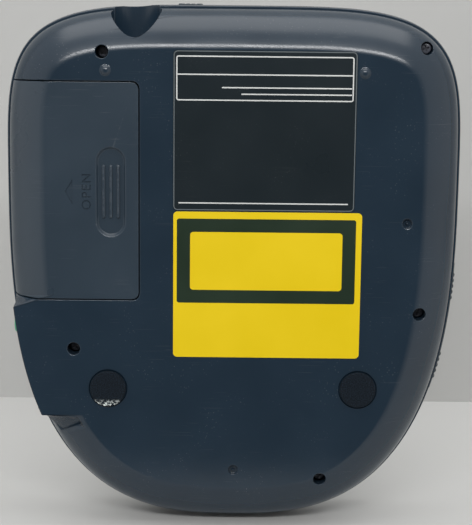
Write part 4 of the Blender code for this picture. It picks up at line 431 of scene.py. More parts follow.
BAR_RIGHT = ((0.75, -0.8), (1.05, -0.8), (1.05, 0.8), (0.75, 0.8))
BAR_LEFT = ((-1.05, -0.8), (-0.75, -0.8), (-0.75, 0.8), (-1.05, 0.8))
POINT_RIGHT = ((-0.7, -0.8), (0.7, 0), (-0.7, 0.8))
POINT_LEFT = ((0.7, -0.8), (0.7, 0.8), (-0.7, 0))
MINUS = ((-0.8, -0.15), (0.8, -0.15), (0.8, 0.15), (-0.8, 0.15))
PLUS = (
    (-0.8, -0.15),
    (-0.15, -0.15),
    (-0.15, -0.8),
    (0.15, -0.8),
    (0.15, -0.15),
    (0.8, -0.15),
    (0.8, 0.15),
    (0.15, 0.15),
    (0.15, 0.8),
    (-0.15, 0.8),
    (-0.15, 0.15),
    (-0.8, 0.15),
)
SQUARE = ((-0.7, -0.7), (0.7, -0.7), (0.7, 0.7), (-0.7, 0.7))
DOT = tuple((0.45 * math.cos(i * math.pi / 12), 0.45 * math.sin(i * math.pi / 12)) for i in range(24))
KEY_SIGNS = {
    "mode_key": (DOT,),
    "stop_key": (SQUARE,),
    "play_key": (POINT_RIGHT,),
    "skip_back_key": (POINT_LEFT, BAR_LEFT),
    "skip_forward_key": (POINT_RIGHT, BAR_RIGHT),
    "volume_down_key": (MINUS,),
    "volume_up_key": (PLUS,),
}

# Stickers: corners, printed frames and ruled lines
LABEL_THICKNESS = 0.1 * MM
PRINT_THICKNESS = 0.02 * MM
LABEL_RADIUS = 1.2 * MM
FRAME_RADIUS = 0.7 * MM
LABEL_CORNER_STEPS = 8
HAIRLINE = 0.25 * MM
RULE = 0.35 * MM
BLACK_LABEL = ((-34.45 * MM, 18.4 * MM), (17.15 * MM, 63.5 * MM))
BLACK_EDGE = ((-34.3 * MM, 18.55 * MM), (17 * MM, 63.35 * MM))
BLACK_FRAME = ((-33.5 * MM, 49.5 * MM), (16.3 * MM, 62 * MM))
BLACK_RULES = (
    (-33 * MM, 3.5 * MM, 53.2 * MM, RULE),
    (-33 * MM, -2 * MM, 51.4 * MM, RULE),
    (-33.2 * MM, 16 * MM, 56.8 * MM, RULE),
    (-32.6 * MM, 15.6 * MM, 20.6 * MM, RULE),
)
YELLOW_LABEL = ((-36.75 * MM, -24.3 * MM), (17 * MM, 18.1 * MM))
GREEN_FRAME = ((-35.1 * MM, -8.3 * MM), (16 * MM, 16.1 * MM))
FRAME_WIDTH = 3.8 * MM

# Stage, light and camera
STAGE_COLOUR = (0.49, 0.49, 0.48)
STAGE_ROUGHNESS = 0.7
STAGE_HALF = 0.9
STAGE_NEAR_Z = -50 * MM
WALL_Z = 144 * MM
FLOOR_GAP = 0.2 * MM
WORLD_COLOUR = (1, 0.995, 0.98)
WORLD_DARK = 0.06
WORLD_BRIGHT = 0.7
WORLD_SPAN = (-0.92, -0.6)
WORLD_SHOWN = 0.75
LAMPS = (
    ("key_lamp", (0, 0.75, -0.1), 0.9, 0.5, 2.7, True),
    ("edge_strip", (0, 0.47, -0.65), 0.7, 0.05, 3.6, True),
    ("camera_fill", (0.35, 0.2, -0.8), 0.7, 0.7, 1.05, False),
    ("lid_fill", (-0.3, 0.3, 0.9), 0.8, 0.8, 2.6, True),
)
CAMERA_TILT = 9.5
CAMERA_ROLL = -0.6
CAMERA_DISTANCE = 0.38
CAMERA_TARGET = (-0.97 * MM, 3.54 * MM, 0.8 * MM)
CAMERA_LENS = 91
CAMERA_CLIP = 0.01


def boolean(target, tool, operation):
    bpy.context.scene.collection.objects.link(tool)
    step = target.modifiers.new(f"{operation.lower()}_{tool.name}", "BOOLEAN")
    step.operation = operation
    step.object = tool


def cut(target, tool):
    boolean(target, tool, "DIFFERENCE")


def join(target, tool):
    boolean(target, tool, "UNION")


def keep_inside(target, tool):
    boolean(target, tool, "INTERSECT")


def finished(name, build):
    """An object from a bmesh, with its faces turned outward."""
    bmesh.ops.recalc_face_normals(build, faces=build.faces)
    mesh = bpy.data.meshes.new(name)
    build.to_mesh(mesh)
    build.free()
    return bpy.data.objects.new(name, mesh)


def tools_of(obj):
    """Every cutting tool behind an object, tools of tools included."""
    found = []
    for step in obj.modifiers:
        if step.type == "BOOLEAN" and step.object:
            found += tools_of(step.object) + [step.object]
    return found


def bake(obj):
    """Turns the object's shape after all its steps into a plain mesh, and removes its tools."""
    bpy.context.scene.collection.objects.link(obj)
    bpy.context.view_layer.update()
    graph = bpy.context.evaluated_depsgraph_get()
    mesh = bpy.data.meshes.new_from_object(obj.evaluated_get(graph))
    tools = tools_of(obj)
    obj.modifiers.clear()
    for tool in tools:
        bpy.data.objects.remove(tool)
    obj.data = mesh


def rounded(obj, width):
    """Rounds the object's sharp edges."""
    rounding = obj.modifiers.new("rounding", "BEVEL")
    rounding.width = width
    rounding.segments = 2
    rounding.limit_method = "ANGLE"
    rounding.angle_limit = SHARP_ANGLE
    rounding.use_clamp_overlap = False


def dress(obj, finish, body, replaced=(), soften=0.0):
    """Bakes a piece, rounds its edges, gives it its finish and lets it ride on its body."""
    bake(obj)
    obj.data.materials.clear()
    obj.data.materials.append(finishes[finish])
    if soften:
        rounded(obj, soften)
    obj.data.shade_smooth()
    obj.data.set_sharp_from_angle(angle=SHARP_ANGLE)
    weighted = obj.modifiers.new("weighted", "WEIGHTED_NORMAL")
    weighted.keep_sharp = True
    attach(obj, body)
    if replaced:
        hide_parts(*replaced)


def box(name, low, high, radius=0.0, vertical_only=False, segments=2):
    """Box between two corners, with all edges or only the upright ones rounded."""
    low, high = Vector(low), Vector(high)
    build = bmesh.new()
    size = Matrix.Diagonal((*(high - low), 1))
    bmesh.ops.create_cube(build, size=1, matrix=Matrix.Translation((low + high) / 2) @ size)
    if radius:
        edges = [
            edge
            for edge in build.edges
            if not vertical_only or abs((edge.verts[0].co - edge.verts[1].co).z) > (high.z - low.z) / 2
        ]
        settings = {"segments": segments, "affect": "EDGES", "profile": 0.5, "clamp_overlap": True}
        bmesh.ops.bevel(build, geom=edges, offset=radius, **settings)
    return finished(name, build)


def rods(name, runs, segments=SMALL):
    """Round bars that don't meet, as one object, each from (start, end, radius)."""
    build = bmesh.new()
    for start, end, radius in runs:
        start, end = Vector(start), Vector(end)
        run = end - start
        turn = Vector((0, 0, 1)).rotation_difference(run).to_matrix().to_4x4()
        sizes = {"segments": segments, "radius1": radius, "radius2": radius, "depth": run.length}
        matrix = Matrix.Translation((start + end) / 2) @ turn
        bmesh.ops.create_cone(build, cap_ends=True, matrix=matrix, **sizes)
    return finished(name, build)


def uprights(name, places, radius, low, high, segments=SMALL):
    """Upright round bars of one radius at several places."""
    return rods(name, [((x, y, low), (x, y, high), radius) for x, y in places], segments)


def turned(name, profile, segments):
    """Solid turned about its own Z axis, from (radius, height) points that run down its outer side."""
    mesh = bpy.data.meshes.new(name)
    edges = [(i, i + 1) for i in range(len(profile) - 1)]
    if profile[0][0] > 0:
        edges.append((len(profile) - 1, 0))
    mesh.from_pydata([(radius, 0, height) for radius, height in profile], edges, [])
    obj = bpy.data.objects.new(name, mesh)
    turn = obj.modifiers.new("turn", "SCREW")
    turn.steps = segments
    turn.render_steps = segments
    turn.use_merge_vertices = True
    turn.merge_threshold = MERGE_GAP
    return obj


def flat(name, points, low, high):
    """Plate with the given outline, between two heights."""
    curve = bpy.data.curves.new(name, "CURVE")
    curve.dimensions = "2D"
    curve.fill_mode = "BOTH"
    curve.extrude = (high - low) / 2
    spline = curve.splines.new("POLY")
    spline.points.add(len(points) - 1)
    for point, (x, y) in zip(spline.points, points):
        point.co = (x, y, 0, 1)
    spline.use_cyclic_u = True
    return meshed(name, curve, Matrix.Translation((0, 0, (low + high) / 2)))


def meshed(name, curve, matrix):
    """A curve's solid as a mesh object, with its loose caps welded on."""
    drawn = bpy.data.objects.new(f"{name}_curve", curve)
    bpy.context.scene.collection.objects.link(drawn)
    bpy.context.view_layer.update()
    graph = bpy.context.evaluated_depsgraph_get()
    mesh = bpy.data.meshes.new_from_object(drawn.evaluated_get(graph))
    bpy.data.objects.remove(drawn)
    build = bmesh.new()
    build.from_mesh(mesh)
    bmesh.ops.remove_doubles(build, verts=build.verts, dist=WELD_GAP)
    bmesh.ops.transform(build, matrix=matrix, verts=build.verts)
    return finished(name, build)


def skin(name, rings):
    """Closed loft through rings of equally many points, with both ends filled."""
    build = bmesh.new()
    rows = [[build.verts.new(point) for point in ring] for ring in rings]
    count = len(rows[0])
    for lower, upper in zip(rows, rows[1:]):
        for i in range(count):
            j = (i + 1) % count
            build.faces.new((lower[i], lower[j], upper[j], upper[i]))
    build.faces.new(rows[0])
    build.faces.new(rows[-1])
    bmesh.ops.triangulate(build, faces=[face for face in build.faces if len(face.verts) == 4])
    return finished(name, build)


def slot_outline(start, end, radius, steps=6):
    """Outline with round ends about two points."""
    start, end = Vector(start), Vector(end)
    bearing = math.atan2(end.y - start.y, end.x - start.x)
    points = []
    for centre, first in ((end, bearing - math.pi / 2), (start, bearing + math.pi / 2)):
        for i in range(steps + 1):
            angle = first + math.pi * i / steps
            points.append((centre.x + radius * math.cos(angle), centre.y + radius * math.sin(angle)))
    return points


def outline_station(angle, side, end):
    """Point of the widest plan outline and the outward direction there, in one quadrant."""
    power = BACK_POWER if end > 0 else FRONT_POWER
    reach = BACK_Y - WIDEST_Y if end > 0 else WIDEST_Y - FRONT_Y
    across = max(math.cos(angle), 0) ** (2 / power)
    along = max(math.sin(angle), 0) ** (2 / power)
    point = Vector((side * HALF_WIDTH * across, WIDEST_Y + end * reach * along))
    outward = Vector((side * across ** (power - 1) / HALF_WIDTH, end * along ** (power - 1) / reach))
    return point, outward.normalized()


def angle_at(y):
    """Quadrant angle at which the outline passes a given y."""
    power = BACK_POWER if y > WIDEST_Y else FRONT_POWER
    reach = BACK_Y - WIDEST_Y if y > WIDEST_Y else WIDEST_Y - FRONT_Y
    return math.asin(min(abs(y - WIDEST_Y) / reach, 1) ** (power / 2))


def spread(first, last, steps):
    return [first + (last - first) * i / steps for i in range(steps + 1)]


def plain_stations():
    """Stations right round the outline, anticlockwise from the +X side."""
    quarter = spread(0, math.pi / 2, QUADRANT_STEPS)
    stations = [outline_station(angle, 1, 1) for angle in quarter[:-1]]
    stations += [outline_station(angle, -1, 1) for angle in reversed(quarter[1:])]
    stations += [outline_station(angle, -1, -1) for angle in quarter[:-1]]
    stations += [outline_station(angle, 1, -1) for angle in reversed(quarter[1:])]
    return stations


def panel_stations(trim):
    """The same stations, with a flag on those of the jack panel, whose ends are trimmed inward."""
    stations = [(*station, False) for station in plain_stations()[: 3 * QUADRANT_STEPS]]
    front = PANEL_FRONT_Y + trim
    back = PANEL_BACK_Y - trim
    runs = (
        (math.pi / 2, angle_at(front - PANEL_FRONT_SLOPE), FRONT_STEPS, False),
        (angle_at(front), angle_at(back), PANEL_STEPS, True),
        (angle_at(back + PANEL_BACK_SLOPE), 0, SIDE_STEPS, False),
    )
    for first, last, steps, is_panel in runs:
        for angle in spread(first, last, steps):
            if angle > 0:
                stations.append((*outline_station(angle, 1, -1), is_panel))
    return stations


def shell_ring(stations, roll_share, inset, z):
    """Ring of the bottom shell, set in by a share of the rolled edge's width."""
    ring = []
    for point, outward, is_panel in stations:
        width = PANEL_DRAFT if is_panel else ROLL_WIDTH
        x, y = point - outward * (inset + width * roll_share)
        ring.append((x, y, z))
    return ring


def ring_at(inset, z):
    return [(*(point - outward * inset), z) for point, outward in plain_stations()]


def shell_rings(inset, floor, trim, steps):
    stations = panel_stations(trim)
    return [
        shell_ring(stations, inward, inset, floor + (PARTING_Z - floor) * upward)
        for inward, upward in roll_shares(steps)
    ]


def shell_form(name):
    """The bottom shell's filled form, out to the middle of its wall."""
    half = WALL / 2
    return skin(name, shell_rings(RIM_INSET + half, FOOT_HEIGHT + half, half, ROLL_STEPS))


def bottom_cup(name):
    outer = shell_rings(RIM_INSET, FOOT_HEIGHT, 0, ROLL_STEPS)
    inner = shell_rings(RIM_INSET + WALL, FLOOR_Z, WALL, INNER_ROLL_STEPS)
    return skin(name, outer + inner[::-1])


def scoop_run(radius, end_y):
    """Bar along Y on the plug scoop's axis, out past the back edge."""
    return ((SCOOP_X, end_y, SCOOP_Z), (SCOOP_X, BACK_Y + OVERRUN, SCOOP_Z), radius)


def add_scoop_wall(target, name, form):
    """Wall of the plug scoop, kept inside the target's own outer form."""
    wall = rods(name, [scoop_run(SCOOP_RADIUS + SCOOP_WALL, SCOOP_END_Y - SCOOP_WALL)], ROUND)
    keep_inside(wall, form)
    join(target, wall)


def cut_scoop(target, name):
    cut(target, rods(name, [scoop_run(SCOOP_RADIUS, SCOOP_END_Y)], ROUND))
    nose = ((SCOOP_X, SCOOP_END_Y - OVERRUN, SCOOP_Z), (SCOOP_X, BACK_Y, SCOOP_Z), DC_NOSE_RADIUS + GAP)
    cut(target, rods(f"{name}_nose_hole", [nose]))


def panel_wall_x(y):
    """x of the jack panel's rim."""
    return outline_station(angle_at(y), 1, -1)[0].x - RIM_INSET


def socket_run(y, radius, inner_depth):
    """Bar along X through the jack panel."""
    wall_x = panel_wall_x(y)
    return ((wall_x - inner_depth, y, SOCKET_Z), (wall_x + OVERRUN, y, SOCKET_Z), radius)


def door_box(name, gap, high):
    low = (DOOR_X0 + gap, DOOR_Y0 + gap, -OVERRUN)
    top = (HALF_WIDTH + OVERRUN, DOOR_Y1 - gap, high)
    return box(name, low, top, DOOR_CORNER, vertical_only=True, segments=3)


def dome_rings(low, offset=0.0, steps=LID_ROLL_STEPS):
    """Rings of the lid's and strip's shared outer form, or of its inside at a given offset."""
    rings = [ring_at(LID_EDGE_INSET + offset, low)]
    side_top = LID_Z + LID_SIDE_HEIGHT
    for angle in spread(0, math.pi / 2, steps):
        inset = LID_EDGE_INSET + LID_ROLL_WIDTH - (LID_ROLL_WIDTH - offset) * math.cos(angle)
        rings.append(ring_at(inset, side_top + (LID_ROLL_HEIGHT - offset) * math.sin(angle)))
    rim = rings[-1]
    for share in LID_CROWN_SHARES:
        rise = LID_CROWN * (1 - (1 - share) ** 2)
        rings.append([(x * (1 - share), y * (1 - share), z + rise) for x, y, z in rim])
    return rings


def barrel(name, radius, half_length):
    run = ((-half_length, HINGE_Y, HINGE_Z), (half_length, HINGE_Y, HINGE_Z), radius)
    return rods(name, [run], ROUND)


def ear_centres():
    return (-EAR_X, EAR_X)


def add_latch_hook(lid):
    shank_y = FRONT_Y + HOOK_INSET
    half = HOOK_WIDTH / 2
    root_low = DECK_Z + RUN
    root_high = root_low + LID_WALL
    root = box(
        "hook_root",
        (-half, FRONT_Y + LID_EDGE_INSET + LID_WALL / 2, root_low),
        (half, shank_y + HOOK_ROOT_REACH, root_high),
    )
    shank = box("hook_shank", (-half, shank_y, HOOK_LOW_Z), (half, shank_y + HOOK_THICKNESS, root_high - GAP))
    nose = box(
        "hook_nose",
        (-half, shank_y + HOOK_THICKNESS / 2, HOOK_LOW_Z),
        (half, shank_y + HOOK_THICKNESS + NOSE_REACH, HOOK_LOW_Z + NOSE_HEIGHT),
    )
    for piece in (root, shank, nose):
        join(lid, piece)


def base_rings(inset):
    """Side of the upper case, from its lower rim to the lid's shoulder."""
    return [
        ring_at(BELT_INSET + inset, PARTING_Z + GAP),
        ring_at(inset, PARTING_Z + BELT_RISE),
        ring_at(inset, PARTING_Z + BELT_RISE + BELT_HEIGHT),
        ring_at(SHOULDER_INSET + inset, SHOULDER_Z),
    ]


def strip_x(keys, centre, index):
    return centre + (index - (len(keys) - 1) / 2) * KEY_PITCH


def key_places():
    """Name and x of every key."""
    for keys, centre in ((LEFT_KEYS, LEFT_KEYS_X), (RIGHT_KEYS, RIGHT_KEYS_X)):
        for index, name in enumerate(keys):
            yield name, strip_x(keys, centre, index)


def pocket_box(name, keys, centre):
    half = KEY_PITCH * len(keys) / 2
    low = (centre - half, KEY_Y - POCKET_DEPTH / 2, POCKET_Z)
    high = (centre + half, KEY_Y + POCKET_DEPTH / 2, POCKET_Z + STRIP_ROOF_RISE)
    return box(name, low, high, POCKET_CORNER, vertical_only=True)


def window_box(name, gap, low, high):
    half_width = DISPLAY_WIDTH / 2 - gap
    half_depth = POCKET_DEPTH / 2 - gap
    return box(
        name,
        (DISPLAY_X - half_width, KEY_Y - half_depth, low),
        (DISPLAY_X + half_width, KEY_Y + half_depth, high),
        POCKET_CORNER,
        vertical_only=True,
    )


def add_strip(case):
    """Fixed strip behind the lid, for keys and display."""
    neck = [ring_at(STRIP_NECK_INSET, z) for z in (SHOULDER_Z - SHOULDER_RISE / 2, LID_Z)]
    strip = skin("control_strip", neck + dome_rings(LID_Z))
    region = box(
        "strip_region",
        (-HALF_WIDTH - OVERRUN, STRIP_FRONT_Y, SHOULDER_Z - OVERRUN),
        (HALF_WIDTH + OVERRUN, BACK_Y + OVERRUN, POCKET_Z + STRIP_ROOF_RISE + OVERRUN),
    )
    keep_inside(strip, region)
    join(case, strip)


def add_ears(case):
    half = EAR_WIDTH / 2
    for number, x in enumerate(ear_centres(), 1):
        ends = ((x - half, HINGE_Y, HINGE_Z), (x + half, HINGE_Y, HINGE_Z))
        round_part = rods(f"ear_{number}", [(*ends, EAR_RADIUS)])
        foot = box(
            f"ear_foot_{number}",
            (x - half + SLIVER, HINGE_Y - EAR_RADIUS, SHOULDER_Z - SHOULDER_RISE / 2),
            (x + half - SLIVER, STRIP_FRONT_Y + EAR_RADIUS, HINGE_Z),
        )
        join(case, foot)
        join(case, round_part)


def cut_case_hollow(case):
    hollow = skin(
        "case_hollow",
        [
            ring_at(SKIRT_WALL + BELT_INSET, PARTING_Z - OVERRUN),
            ring_at(SKIRT_WALL + BELT_INSET, PARTING_Z + BELT_RISE),
            ring_at(SKIRT_WALL + SHOULDER_INSET, DECK_ROOF_Z),
        ],
    )
    wall_run = scoop_run(SCOOP_RADIUS + SCOOP_WALL, SCOOP_END_Y - SCOOP_WALL)
    scoop_wall = rods("scoop_wall_keep", [wall_run], ROUND)
    cut(hollow, scoop_wall)
    cut(case, hollow)
    strip_hollow = skin("strip_hollow", dome_rings(PARTING_Z, SKIRT_WALL + GAP, LID_INNER_STEPS))
    keep_inside(
        strip_hollow,
        box(
            "strip_hollow_region",
            (-HALF_WIDTH, STRIP_FRONT_Y + SKIRT_WALL, DECK_ROOF_Z - RUN),
            (HALF_WIDTH, BACK_Y, STRIP_ROOF_Z),
        ),
    )
    cut(case, strip_hollow)


def cut_well(case):
    well = uprights("disc_well", [(0, DISC_Y)], WELL_RADIUS, WELL_Z, DECK_Z + OVERRUN, FINE)
    cut(case, well)
    frame = mechanism_matrix()
    hole = uprights("turntable_hole", [(0, DISC_Y)], MECH_WINDOW_RADIUS, DECK_ROOF_Z - RUN, DECK_Z, ROUND)
    cut(case, hole)
    window = box(
        "pickup_window",
        (0, -MECH_WINDOW_HALF, DECK_ROOF_Z - OVERRUN),
        (MECH_WINDOW_END, MECH_WINDOW_HALF, DECK_Z),
        MECH_WINDOW_CORNER,
        vertical_only=True,
    )
    window.data.transform(frame)
    cut(case, window)


def cut_lip_and_trough(case):
    """Raised deck inside the lid's edge, ending ahead of the hinge."""
    lip_outline = [(x, y) for x, y, _ in ring_at(LIP_INSET, 0)]
    lip = flat("deck_lip", lip_outline, SHOULDER_Z - SHOULDER_RISE / 2, DECK_Z)
    trough = box(
        "hinge_trough",
        (-HALF_WIDTH, HINGE_Y - EAR_RADIUS - 2 * NOTCH_DEPTH - 2 * BARREL_GAP, SHOULDER_Z - OVERRUN),
        (HALF_WIDTH, BACK_Y + OVERRUN, DECK_Z + OVERRUN),
    )
    cut(lip, trough)
    join(case, lip)


def button_outline(inset, half_width):
    """Front edge of the plan outline, between two x limits, set in by a given depth."""
    points = []
    for step in range(-BUTTON_STEPS, BUTTON_STEPS + 1):
        share = step / BUTTON_STEPS
        x = half_width * share
        depth = (1 - (abs(x) / HALF_WIDTH) ** FRONT_POWER) ** (1 / FRONT_POWER)
        points.append((x, WIDEST_Y - (WIDEST_Y - FRONT_Y) * depth + inset))
    return points


def cut_front_openings(case):
    low = (-BUTTON_HALF_WIDTH - GAP, FRONT_Y - OVERRUN, BUTTON_LOW_Z - GAP)
    high = (BUTTON_HALF_WIDTH + GAP, FRONT_Y + SKIRT_WALL + OVERRUN, BUTTON_LOW_Z + BUTTON_HEIGHT + GAP)
    cut(case, box("button_window", low, high))
    half = HOOK_WIDTH / 2 + RUN
    low = (-half, FRONT_Y + LIP_INSET - RUN, DECK_ROOF_Z - OVERRUN)
    high = (half, FRONT_Y + HOOK_INSET + HOOK_THICKNESS + NOSE_REACH + RUN, DECK_Z + OVERRUN)
    cut(case, box("hook_slot", low, high))


def cut_strip_openings(case):
    for name, keys, centre in (("left", LEFT_KEYS, LEFT_KEYS_X), ("right", RIGHT_KEYS, RIGHT_KEYS_X)):
        cut(case, pocket_box(f"{name}_key_pocket", keys, centre))
    stems = [(x, KEY_Y) for _, x in key_places()]
    low, high = STRIP_ROOF_Z - OVERRUN, POCKET_Z + OVERRUN
    cut(case, uprights("stem_holes", stems, KEY_STEM_RADIUS + GAP, low, high, TINY))
    cut(case, window_box("display_seat", 0, POCKET_Z, POCKET_Z + OVERRUN))
    cut(case, window_box("display_hole", DISPLAY_BORDER, STRIP_ROOF_Z - OVERRUN, POCKET_Z + OVERRUN))


def cut_hold_slot(case):
    width = HOLD_WIDTH + HOLD_TRAVEL
    low_z, high_z = HOLD_Z - HOLD_HEIGHT / 2 - GAP, HOLD_Z + HOLD_HEIGHT / 2 + GAP
    low = (HOLD_X - width / 2 - GAP, BACK_Y - HOLD_SINK, low_z)
    high = (HOLD_X + width / 2 + GAP, BACK_Y + OVERRUN, high_z)
    cut(case, box("hold_recess", low, high))
    width = HOLD_STEM_WIDTH + HOLD_TRAVEL
    half = HOLD_STEM_HEIGHT / 2 + GAP
    low = (HOLD_X - width / 2 - GAP, BACK_Y - 2 * SKIRT_WALL, HOLD_Z - half)
    high = (HOLD_X + width / 2 + GAP, BACK_Y + OVERRUN, HOLD_Z + half)
    cut(case, box("hold_slot", low, high))


def side_strip(y0, y1, inset, steps):
    """Points along the -X side of the outline, from back to front."""
    points = []
    for y in spread(y0, y1, steps):
        point, outward = outline_station(angle_at(y), -1, -1)
        points.append(tuple(point - outward * inset))
    return points


def cut_grip_seat(case):
    ends = (SIDE_GRIP_BACK_Y + GAP, SIDE_GRIP_FRONT_Y - GAP)
    inner = side_strip(*ends, SIDE_GRIP_SEAT, SIDE_RIB_COUNT)
    outer = side_strip(*ends, -OVERRUN, SIDE_RIB_COUNT)
    low, high = SIDE_GRIP_LOW_Z - GAP, SIDE_GRIP_LOW_Z + SIDE_GRIP_HEIGHT + GAP
    cut(case, flat("grip_seat", outer + inner[::-1], low, high))


def add_case_bosses(case):
    """Screw bosses and board posts under the deck, with their blind bores."""
    bosses = uprights("screw_bosses", SCREW_PLACES, TUBE_RADIUS, PARTING_Z + GAP, DECK_ROOF_Z + RUN)
    keep_inside(bosses, skin("boss_form", [ring_at(SKIRT_WALL, z) for z in (PARTING_Z, POCKET_Z)]))
    join(case, bosses)
    low = PARTING_Z - OVERRUN
    bores = [((x, y, low), (x, y, shelf + SCREW_LENGTH), SHANK_HOLE_RADIUS) for x, y, shelf in SCREWS]
    cut(case, rods("boss_bores", bores, TINY))
    places = [(x, KEY_Y) for x in BOARD_POST_PLACES_X]
    posts = uprights("board_posts", places, BOARD_POST_RADIUS, board_high() + GAP, STRIP_ROOF_Z + RUN)
    join(case, posts)


def board_high():
    return STRIP_ROOF_Z - DISPLAY_DEPTH


def mechanism_matrix():
    turn = Matrix.Rotation(math.radians(TRAVEL_DEGREES), 4, "Z")
    return Matrix.Translation((0, DISC_Y, 0)) @ turn


def damper_low():
    return CHASSIS_Z + CHASSIS_THICKNESS / 2 - DAMPER_HEIGHT / 2


def damper_high():
    return damper_low() + DAMPER_HEIGHT


class Look:
    """A Principled material under construction, with short calls for its nodes."""

    def __init__(self, name, roughness, metallic=0.0, ior=1.45, **values):
        self.material = bpy.data.materials.new(name)
        self.material.use_nodes = True
        self.tree = self.material.node_tree
        self.shader = self.tree.nodes["Principled BSDF"]
        self.shader.inputs["Roughness"].default_value = roughness
        self.shader.inputs["Metallic"].default_value = metallic
        self.shader.inputs["IOR"].default_value = ior
        for key, value in values.items():
            self.shader.inputs[key.replace("_", " ").title()].default_value = value
        self.place = self.tree.nodes.new("ShaderNodeTexCoord").outputs["Object"]

    def node(self, kind, values=(), **settings):
        made = self.tree.nodes.new(f"ShaderNode{kind}")
        for key, value in settings.items():
            setattr(made, key, value)
        for key, value in dict(values).items():
            if hasattr(value, "is_output"):
                self.tree.links.new(value, made.inputs[key])
            else:
                made.inputs[key].default_value = value
        return made

    def noise(self, scale, detail=3.0, rough=0.5, stretch=None, turn=0.0, warp=0.0):
        vector = self.place
        if stretch:
            mapping = self.node("Mapping", {"Vector": vector, "Scale": stretch, "Rotation": (0, 0, turn)})
            vector = mapping.outputs["Vector"]
        values = {"Vector": vector, "Scale": scale, "Detail": detail, "Roughness": rough, "Distortion": warp}
        return self.node("TexNoise", values).outputs["Fac"]

    def span(self, value, low, high, to_low=0.0, to_high=1.0):
        values = {"Value": value, "From Min": low, "From Max": high, "To Min": to_low, "To Max": to_high}
        return self.node("MapRange", values).outputs["Result"]

    def sum(self, first, second, operation="ADD"):
        return self.node("Math", {0: first, 1: second}, operation=operation).outputs[0]

    def blend(self, factor, first, second):
        made = self.node("Mix", {"Factor": factor}, data_type="RGBA")
        for socket, value in zip(made.inputs[6:8], (first, second)):
            if hasattr(value, "is_output"):
                self.tree.links.new(value, socket)
            else:
                socket.default_value = (*value, 1)
        return made.outputs[2]

    def drive(self, socket, value):
        self.tree.links.new(value, self.shader.inputs[socket])

    def bump(self, height, distance, strength=1.0):
        values = {"Height": height, "Distance": distance, "Strength": strength}
        return self.node("Bump", values).outputs["Normal"]


def moulded(name, colour, roughness, tone=0.12, grain=0.5, wear=0.15, dust=0.0, scratch=0.0, **values):
    """Moulded or painted surface: fine grain, uneven tone, edges paled partly as rubbed wear and partly as
    painted highlight, hairline scratches and dust.
    """
    look = Look(name, roughness, **values)
    dark = [channel * (1 - tone) for channel in colour]
    light = [channel * (1 + tone) for channel in colour]
    pale = [channel + (1 - channel) * MARK_AND_HIGHLIGHT_LIGHTEN for channel in colour]
    broad = look.noise(BROAD_SCALE, 4)
    shade = look.blend(look.span(broad, *TONE_SPAN), dark, light)
    # Sharp edges are paled by pointiness: part rubbed wear, part painted highlight standing in for light
    # catching the edges
    edge = look.node("NewGeometry").outputs["Pointiness"]
    worn = look.span(look.noise(EDGE_WEAR_HIGHLIGHT_SCALE, 5), *EDGE_WEAR_HIGHLIGHT_PATCH_SPAN)
    rubbed_edge_highlight = look.sum(look.span(edge, *EDGE_WEAR_HIGHLIGHT_SPAN), worn, "MULTIPLY")
    shade = look.blend(look.sum(rubbed_edge_highlight, wear, "MULTIPLY"), shade, pale)
    fine = look.noise(GRAIN_SCALE, 2)
    if scratch:
        marks = None
        for turn, stretch in SCRATCH_RUNS:
            line = look.noise(SCRATCH_SCALE, 1, stretch=stretch, turn=turn, warp=SCRATCH_WARP)
            patch = look.span(look.noise(SCRATCH_PATCH, 2), *SCRATCH_PATCH_SPAN)
            thin = look.sum(look.span(line, *SCRATCH_LINE_SPAN), patch, "MULTIPLY")
            marks = thin if marks is None else look.sum(marks, thin, "MAXIMUM")
        shade = look.blend(look.sum(marks, scratch, "MULTIPLY"), shade, pale)
    if dust:
        cells = look.node("TexVoronoi", {"Vector": look.place, "Scale": DUST_SCALE}, feature="F1")
        speck = look.span(cells.outputs["Distance"], *DUST_SPECK_SPAN)
        patch = look.span(look.noise(DUST_PATCH, 3), *DUST_PATCH_SPAN)
        shade = look.blend(look.sum(look.sum(speck, patch, "MULTIPLY"), dust, "MULTIPLY"), shade, pale)
    look.drive("Base Color", shade)
    look.drive("Roughness", look.span(broad, *GLOSS_SPAN, *(roughness * share for share in GLOSS_SHARES)))
    look.drive("Normal", look.bump(fine, GRAIN_DEPTH, grain))
    return look.material


def metal(name, colour, roughness, brush=0.4, **values):
    """Bare metal with fine drawn lines and uneven polish."""
    look = Look(name, roughness, metallic=1.0, **values)
    drawn = look.noise(GRAIN_SCALE, 3, stretch=(1, BRUSH_STRETCH, 1))
    spots = look.noise(SPOT_SCALE, 4)
    dark = [channel * METAL_DARK for channel in colour]
    look.drive("Base Color", look.blend(look.span(spots, *GLOSS_SPAN), dark, colour))
    look.drive("Roughness", look.span(spots, *GLOSS_SPAN, *(roughness * share for share in POLISH_SHARES)))
    look.drive("Normal", look.bump(drawn, GRAIN_DEPTH, brush))
    return look.material


def foot_look(name, colour, roughness, worn=False):
    """Speckled rubber, rubbed pale along its lower edge where it is worn."""
    look = Look(name, roughness, ior=RUBBER_IOR)
    speckle = look.noise(SPECKLE_SCALE, 4, SPECKLE_ROUGH)
    dark, light = ([channel * share for channel in colour] for share in SPECKLE_SHARES)
    shade = look.blend(look.span(speckle, *SPECKLE_SPAN), dark, light)
    if worn:
        parts = look.node("SeparateXYZ", {"Vector": look.place})
        low = look.span(parts.outputs["Y"], WORN_Y_HIGH, WORN_Y_LOW)
        patch = look.noise(WORN_SCALE, 5, WORN_ROUGH)
        chips = look.sum(low, look.span(patch, *WORN_SPAN), "MULTIPLY")
        shade = look.blend(chips, shade, WORN_WHITE)
    look.drive("Base Color", shade)
    look.drive("Roughness", look.span(speckle, *GLOSS_SPAN, roughness * SPECKLE_GLOSS, roughness))
    look.drive("Normal", look.bump(speckle, SPECKLE_DEPTH, SPECKLE_BUMP))
    return look.material


